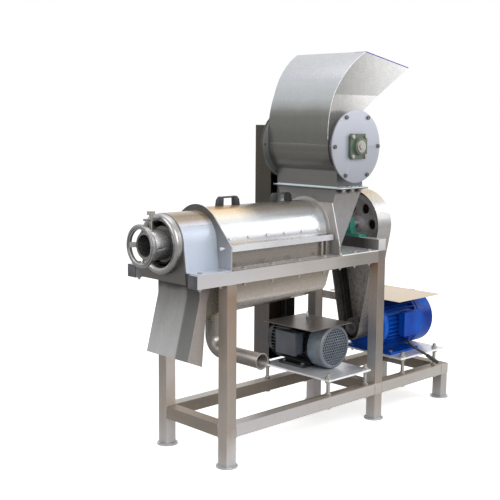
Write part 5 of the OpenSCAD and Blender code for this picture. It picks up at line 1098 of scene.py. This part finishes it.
# Fan cowl of the crusher motor: a pressed shell with a pale rolled rim and a lattice in its end
fanCowl = {
    "axis": (0.026, 0.340),
    "end": -0.092,
    "profile": [
        # out from the axis and in from the end, round the sheet's outline
        (0.0980, 0.0775), (0.0980, 0.0270), (0.0980, 0.0120), (0.0972, 0.0065), (0.0950, 0.0025), (0.0915, 0.0004),
        (0.0880, 0.0), (0.0815, 0.0), (0.0815, 0.0024), (0.0885, 0.0024), (0.0920, 0.0036), (0.0944, 0.0070),
        (0.0955, 0.0125), (0.0955, 0.0775),
    ],
    "sides": 112,
    "sharp": 40,
    "rim": 0.0262,
    "lattice": {"Radius": 0.0825, "Cell": 0.0112, "Open": 0.8, "Thick": 0.0014},
    "latticeIn": 0.0032,
}


def addSkin(bm, rings, closed):
    # faces from each ring of points to the next, and how the rings themselves close
    made = []
    for a, b in zip(rings, rings[1:] + rings[:1] if closed else rings[1:]):
        for i in range(len(a)):
            j = (i + 1) % len(a)
            made.append(bm.faces.new((a[i], a[j], b[j], b[i])))
    return made


def makeFanCowl(plan):
    bm = bmesh.new()
    x, z = plan["axis"]
    rings = []
    for turn in (2 * math.pi * k / plan["sides"] for k in range(plan["sides"])):
        across, up = math.cos(turn), math.sin(turn)
        rings.append([bm.verts.new((x + r * across, plan["end"] + t, z + r * up)) for r, t in plan["profile"]])
    for face in addSkin(bm, rings, True):
        face.material_index = 1 if face.calc_center_median().y < plan["end"] + plan["rim"] else 0
    finishes = [paints["cowlSlate"], paints["cowlRim"]]
    made = finishMesh("crusherMotorCowl", bm, finishes, "root", plan["sharp"])
    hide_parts("crusher_motor_cowl")


makeFanCowl(fanCowl)
print("fan cowl turned")


# Shapes that repeat or follow a rule are grown by node trees and kept as plain meshes
def newShapeTree(name, inputs):
    tree = bpy.data.node_groups.new(name, "GeometryNodeTree")
    tree.interface.new_socket(name="Geometry", in_out="INPUT", socket_type="NodeSocketGeometry")
    for label, kind, value in inputs:
        made = tree.interface.new_socket(name=label, in_out="INPUT", socket_type="NodeSocket" + kind)
        made.default_value = value
    tree.interface.new_socket(name="Finish", in_out="INPUT", socket_type="NodeSocketMaterial")
    tree.interface.new_socket(name="Geometry", in_out="OUTPUT", socket_type="NodeSocketGeometry")
    return tree, tree.nodes.new("NodeGroupInput").outputs, tree.nodes.new("NodeGroupOutput").inputs


def closeTree(tree, enter, leave, geometry):
    real = addShape(tree, "RealizeInstances", {"Geometry": geometry})
    painted = addShape(tree, "SetMaterial", {"Geometry": real.outputs[0], "Material": enter["Finish"]})
    put(tree, leave["Geometry"], painted.outputs[0])


def growShape(name, tree, values, start=None, turn=None):
    # runs the tree on a start mesh and leaves a plain mesh with its place in it
    holder = addObject(name, start or bpy.data.meshes.new(name + "Start"))
    grower = holder.modifiers.new("shape", "NODES")
    grower.node_group = tree
    for item in tree.interface.items_tree:
        if item.in_out == "INPUT" and item.name in values:
            grower[item.identifier] = values[item.name]
    bpy.context.view_layer.update()
    graph = bpy.context.evaluated_depsgraph_get()
    mesh = bpy.data.meshes.new_from_object(holder.evaluated_get(graph))
    mesh.name = name
    holder.modifiers.clear()
    holder.data = mesh
    if turn is not None:
        mesh.transform(turn)
    return holder


def makeLatticeTree():
    # a thin disc with rows of holes: each cell of a honeycomb is drawn in and taken out
    tree, enter, leave = newShapeTree(
        "fanLattice",
        [("Radius", "Float", 0.08), ("Cell", "Float", 0.005), ("Open", "Float", 0.7), ("Thick", "Float", 0.001)],
    )
    cell, radius = enter["Cell"], enter["Radius"]
    across = addMath(tree, "MULTIPLY", radius, 2.2)
    count = addMath(tree, "DIVIDE", across, cell)
    sizes = {"Size X": across, "Size Y": across, "Vertices X": count, "Vertices Y": count}
    grid = addShape(tree, "MeshGrid", sizes)
    place = addShape(tree, "InputPosition").outputs[0]
    level = addMath(tree, "ROUND", addMath(tree, "DIVIDE", splitVector(tree, place)["Y"], cell))
    odd = addMath(tree, "MULTIPLY", addMath(tree, "FLOORED_MODULO", level, 2.0), cell)
    lean = joinVector(tree, X=addMath(tree, "MULTIPLY", odd, 0.5))
    shifted = addShape(tree, "SetPosition", {"Geometry": grid.outputs["Mesh"], "Offset": lean})
    threes = addShape(tree, "Triangulate", {"Mesh": shifted.outputs[0]})
    cells = addShape(tree, "DualMesh", {"Mesh": threes.outputs[0]})
    outside = addMath(tree, "GREATER_THAN", measureVector(tree, place), radius)
    away = {"Geometry": cells.outputs[0], "Selection": outside}
    disc = addShape(tree, "DeleteGeometry", away, domain="FACE")
    drawn = addShape(tree, "ExtrudeMesh", {"Mesh": disc.outputs[0], "Offset Scale": 0.0}, mode="FACES")
    top = drawn.outputs["Top"]
    inward = {"Geometry": drawn.outputs["Mesh"], "Selection": top, "Scale": enter["Open"]}
    small = addShape(tree, "ScaleElements", inward)
    taken = {"Geometry": small.outputs[0], "Selection": top}
    holes = addShape(tree, "DeleteGeometry", taken, domain="FACE")
    joined = addShape(tree, "MergeByDistance", {"Geometry": holes.outputs[0], "Distance": 0.00001})
    rise = {"Mesh": joined.outputs[0], "Offset Scale": enter["Thick"], "Individual": False}
    wall = addShape(tree, "ExtrudeMesh", rise, mode="FACES")
    closeTree(tree, enter, leave, wall.outputs["Mesh"])
    return tree


def makeWeldTree():
    # a bead of overlapping ripples along each line
    tree, enter, leave = newShapeTree(
        "weldBead", [("Pitch", "Float", 0.003), ("Width", "Float", 0.003), ("Seed", "Int", 3)]
    )
    line = addShape(tree, "MeshToCurve", {"Mesh": enter["Geometry"]})
    steps = {"Curve": line.outputs[0], "Length": enter["Pitch"]}
    dots = addShape(tree, "CurveToPoints", steps, mode="LENGTH").outputs
    ripple = addShape(tree, "MeshUVSphere", {"Segments": 8, "Rings": 5, "Radius": 1.0})
    smooth = addShape(tree, "SetShadeSmooth", {"Geometry": ripple.outputs["Mesh"]}).outputs[0]
    length = addMath(tree, "MULTIPLY", enter["Pitch"], 0.95)
    shape = joinVector(tree, X=enter["Width"], Y=enter["Width"], Z=length)
    vary = addNode(tree, "RandomValue", {"Seed": enter["Seed"], 2: 0.88, 3: 1.1}, "FunctionNode", data_type="FLOAT")
    sized = addNode(tree, "VectorMath", {0: shape, "Scale": vary.outputs[1]}, operation="SCALE")
    laid = {"Points": dots["Points"], "Instance": smooth, "Rotation": dots["Rotation"], "Scale": sized.outputs[0]}
    closeTree(tree, enter, leave, addShape(tree, "InstanceOnPoints", laid).outputs[0])
    return tree


def makeLattice(plan):
    x, z = plan["axis"]
    turn = Matrix.Translation((x, plan["end"] + plan["latticeIn"], z)) @ Matrix.Rotation(math.radians(90), 4, "X")
    values = {**plan["lattice"], "Finish": paints["lattice"]}
    made = growShape("crusherFanLattice", makeLatticeTree(), values, turn=turn)
    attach(made, "root")


makeLattice(fanCowl)
print("fan lattice grown")

# Weld beads where the frame's tubes meet
welds = {
    "legX": 0.705,
    "midX": 0.195,
    "tube": 0.025,
    "railY": 0.185,
    "low": (0.118, 0.168),
    "top": 0.721,
    "pitch": 0.0032,
    "width": 0.0017,
    "seed": 5,
}
# The hopper's seam: a dressed weld along the edge between its back and its front side, near white, which paints the
# edge's highlight
hopperSeam = {
    "side": -0.1362,
    "flare": 0.027,
    "rise": (1.450, 1.640),
    "arc": (0.295, 1.290, 0.391),
    "start": 1.262,
    "stop": 1.631,
    "pitch": 0.0016,
    "width": 0.0015,
    "seed": 9,
    "steps": (6, 48),
}
weldTree = makeWeldTree()


def layBeads(name, lines, plan, finish):
    points, edges = [], []
    for line in lines:
        edges += [(len(points) + k, len(points) + k + 1) for k in range(len(line) - 1)]
        points += line
    mesh = bpy.data.meshes.new(name + "Lines")
    mesh.from_pydata(points, edges, [])
    values = {"Pitch": plan["pitch"], "Width": plan["width"], "Seed": plan["seed"], "Finish": finish}
    made = growShape(name, weldTree, values, mesh)
    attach(made, "root")


def makeWelds(plan):
    def ring(a, b, c, d):
        return [(a, c), (b, c), (b, d), (a, d), (a, c)]

    lines = []
    half, (low, high) = plan["tube"], plan["low"]
    legX, midX = plan["legX"], plan["midX"]
    for side in (-1, 1):
        y = side * plan["railY"]
        inner = y - side * half
        for x, ways in ((-legX, (1,)), (midX, (-1, 1)), (legX, (-1,))):
            # round the lower rail's ends on the leg, and the cross rail's end
            for way in ways:
                lines.append([(x + way * half, a, b) for a, b in ring(y - half, y + half, low, high)])
            lines.append([(a, inner, b) for a, b in ring(x - half, x + half, low, high)])
        # round the left leg's top
        lines.append([(a, b, plan["top"]) for a, b in ring(-legX - half, -legX + half, y - half, y + half)])
    layBeads("frameWelds", lines, plan, boltSteel)


def makeHopperSeam(plan):
    x, z, radius = plan["arc"]
    low, high = plan["rise"]
    straight, bent = plan["steps"]
    turn = math.asin((plan["stop"] - z) / radius)
    line = [(x - radius, plan["start"] + (z - plan["start"]) * k / straight) for k in range(straight)]
    for angle in (turn * k / bent for k in range(bent + 1)):
        line.append((x - radius * math.cos(angle), z + radius * math.sin(angle)))
    points = [(a, plan["side"] - plan["flare"] * max(0.0, (b - low) / (high - low)), b) for a, b in line]
    layBeads("hopperSeam", [points], plan, paleHighlightSteel)


makeWelds(welds)
makeHopperSeam(hopperSeam)
print("weld beads laid")

# Locating pin on the arch plate, pointing along -X
archPin = {
    "place": (-0.702, -0.158, 0.853),
    "long": 0.016,
    "radius": 0.0045,
    "head": 0.0065,
    "headLong": 0.005,
    "eased": 0.001,
    "sides": 28,
}


def makePin(plan):
    bm = bmesh.new()
    x, y, z = plan["place"]
    shoulder, head = plan["long"] - plan["headLong"], plan["head"]
    outline = [(0.0, plan["radius"]), (shoulder, plan["radius"]), (shoulder, head)]
    outline += [(plan["long"] - plan["eased"], head), (plan["long"], head - plan["eased"])]
    turns = [2 * math.pi * k / plan["sides"] for k in range(plan["sides"])]
    rings = []
    for out, radius in outline:
        rings.append([bm.verts.new((x - out, y + radius * math.cos(a), z + radius * math.sin(a))) for a in turns])
    addSkin(bm, rings, False)
    bm.faces.new(rings[0])
    bm.faces.new(rings[-1][::-1])
    # the pin in near-white steel, which paints its highlight
    finishMesh("archPin", bm, [paleHighlightSteel], "root")


makePin(archPin)
print("pin set")
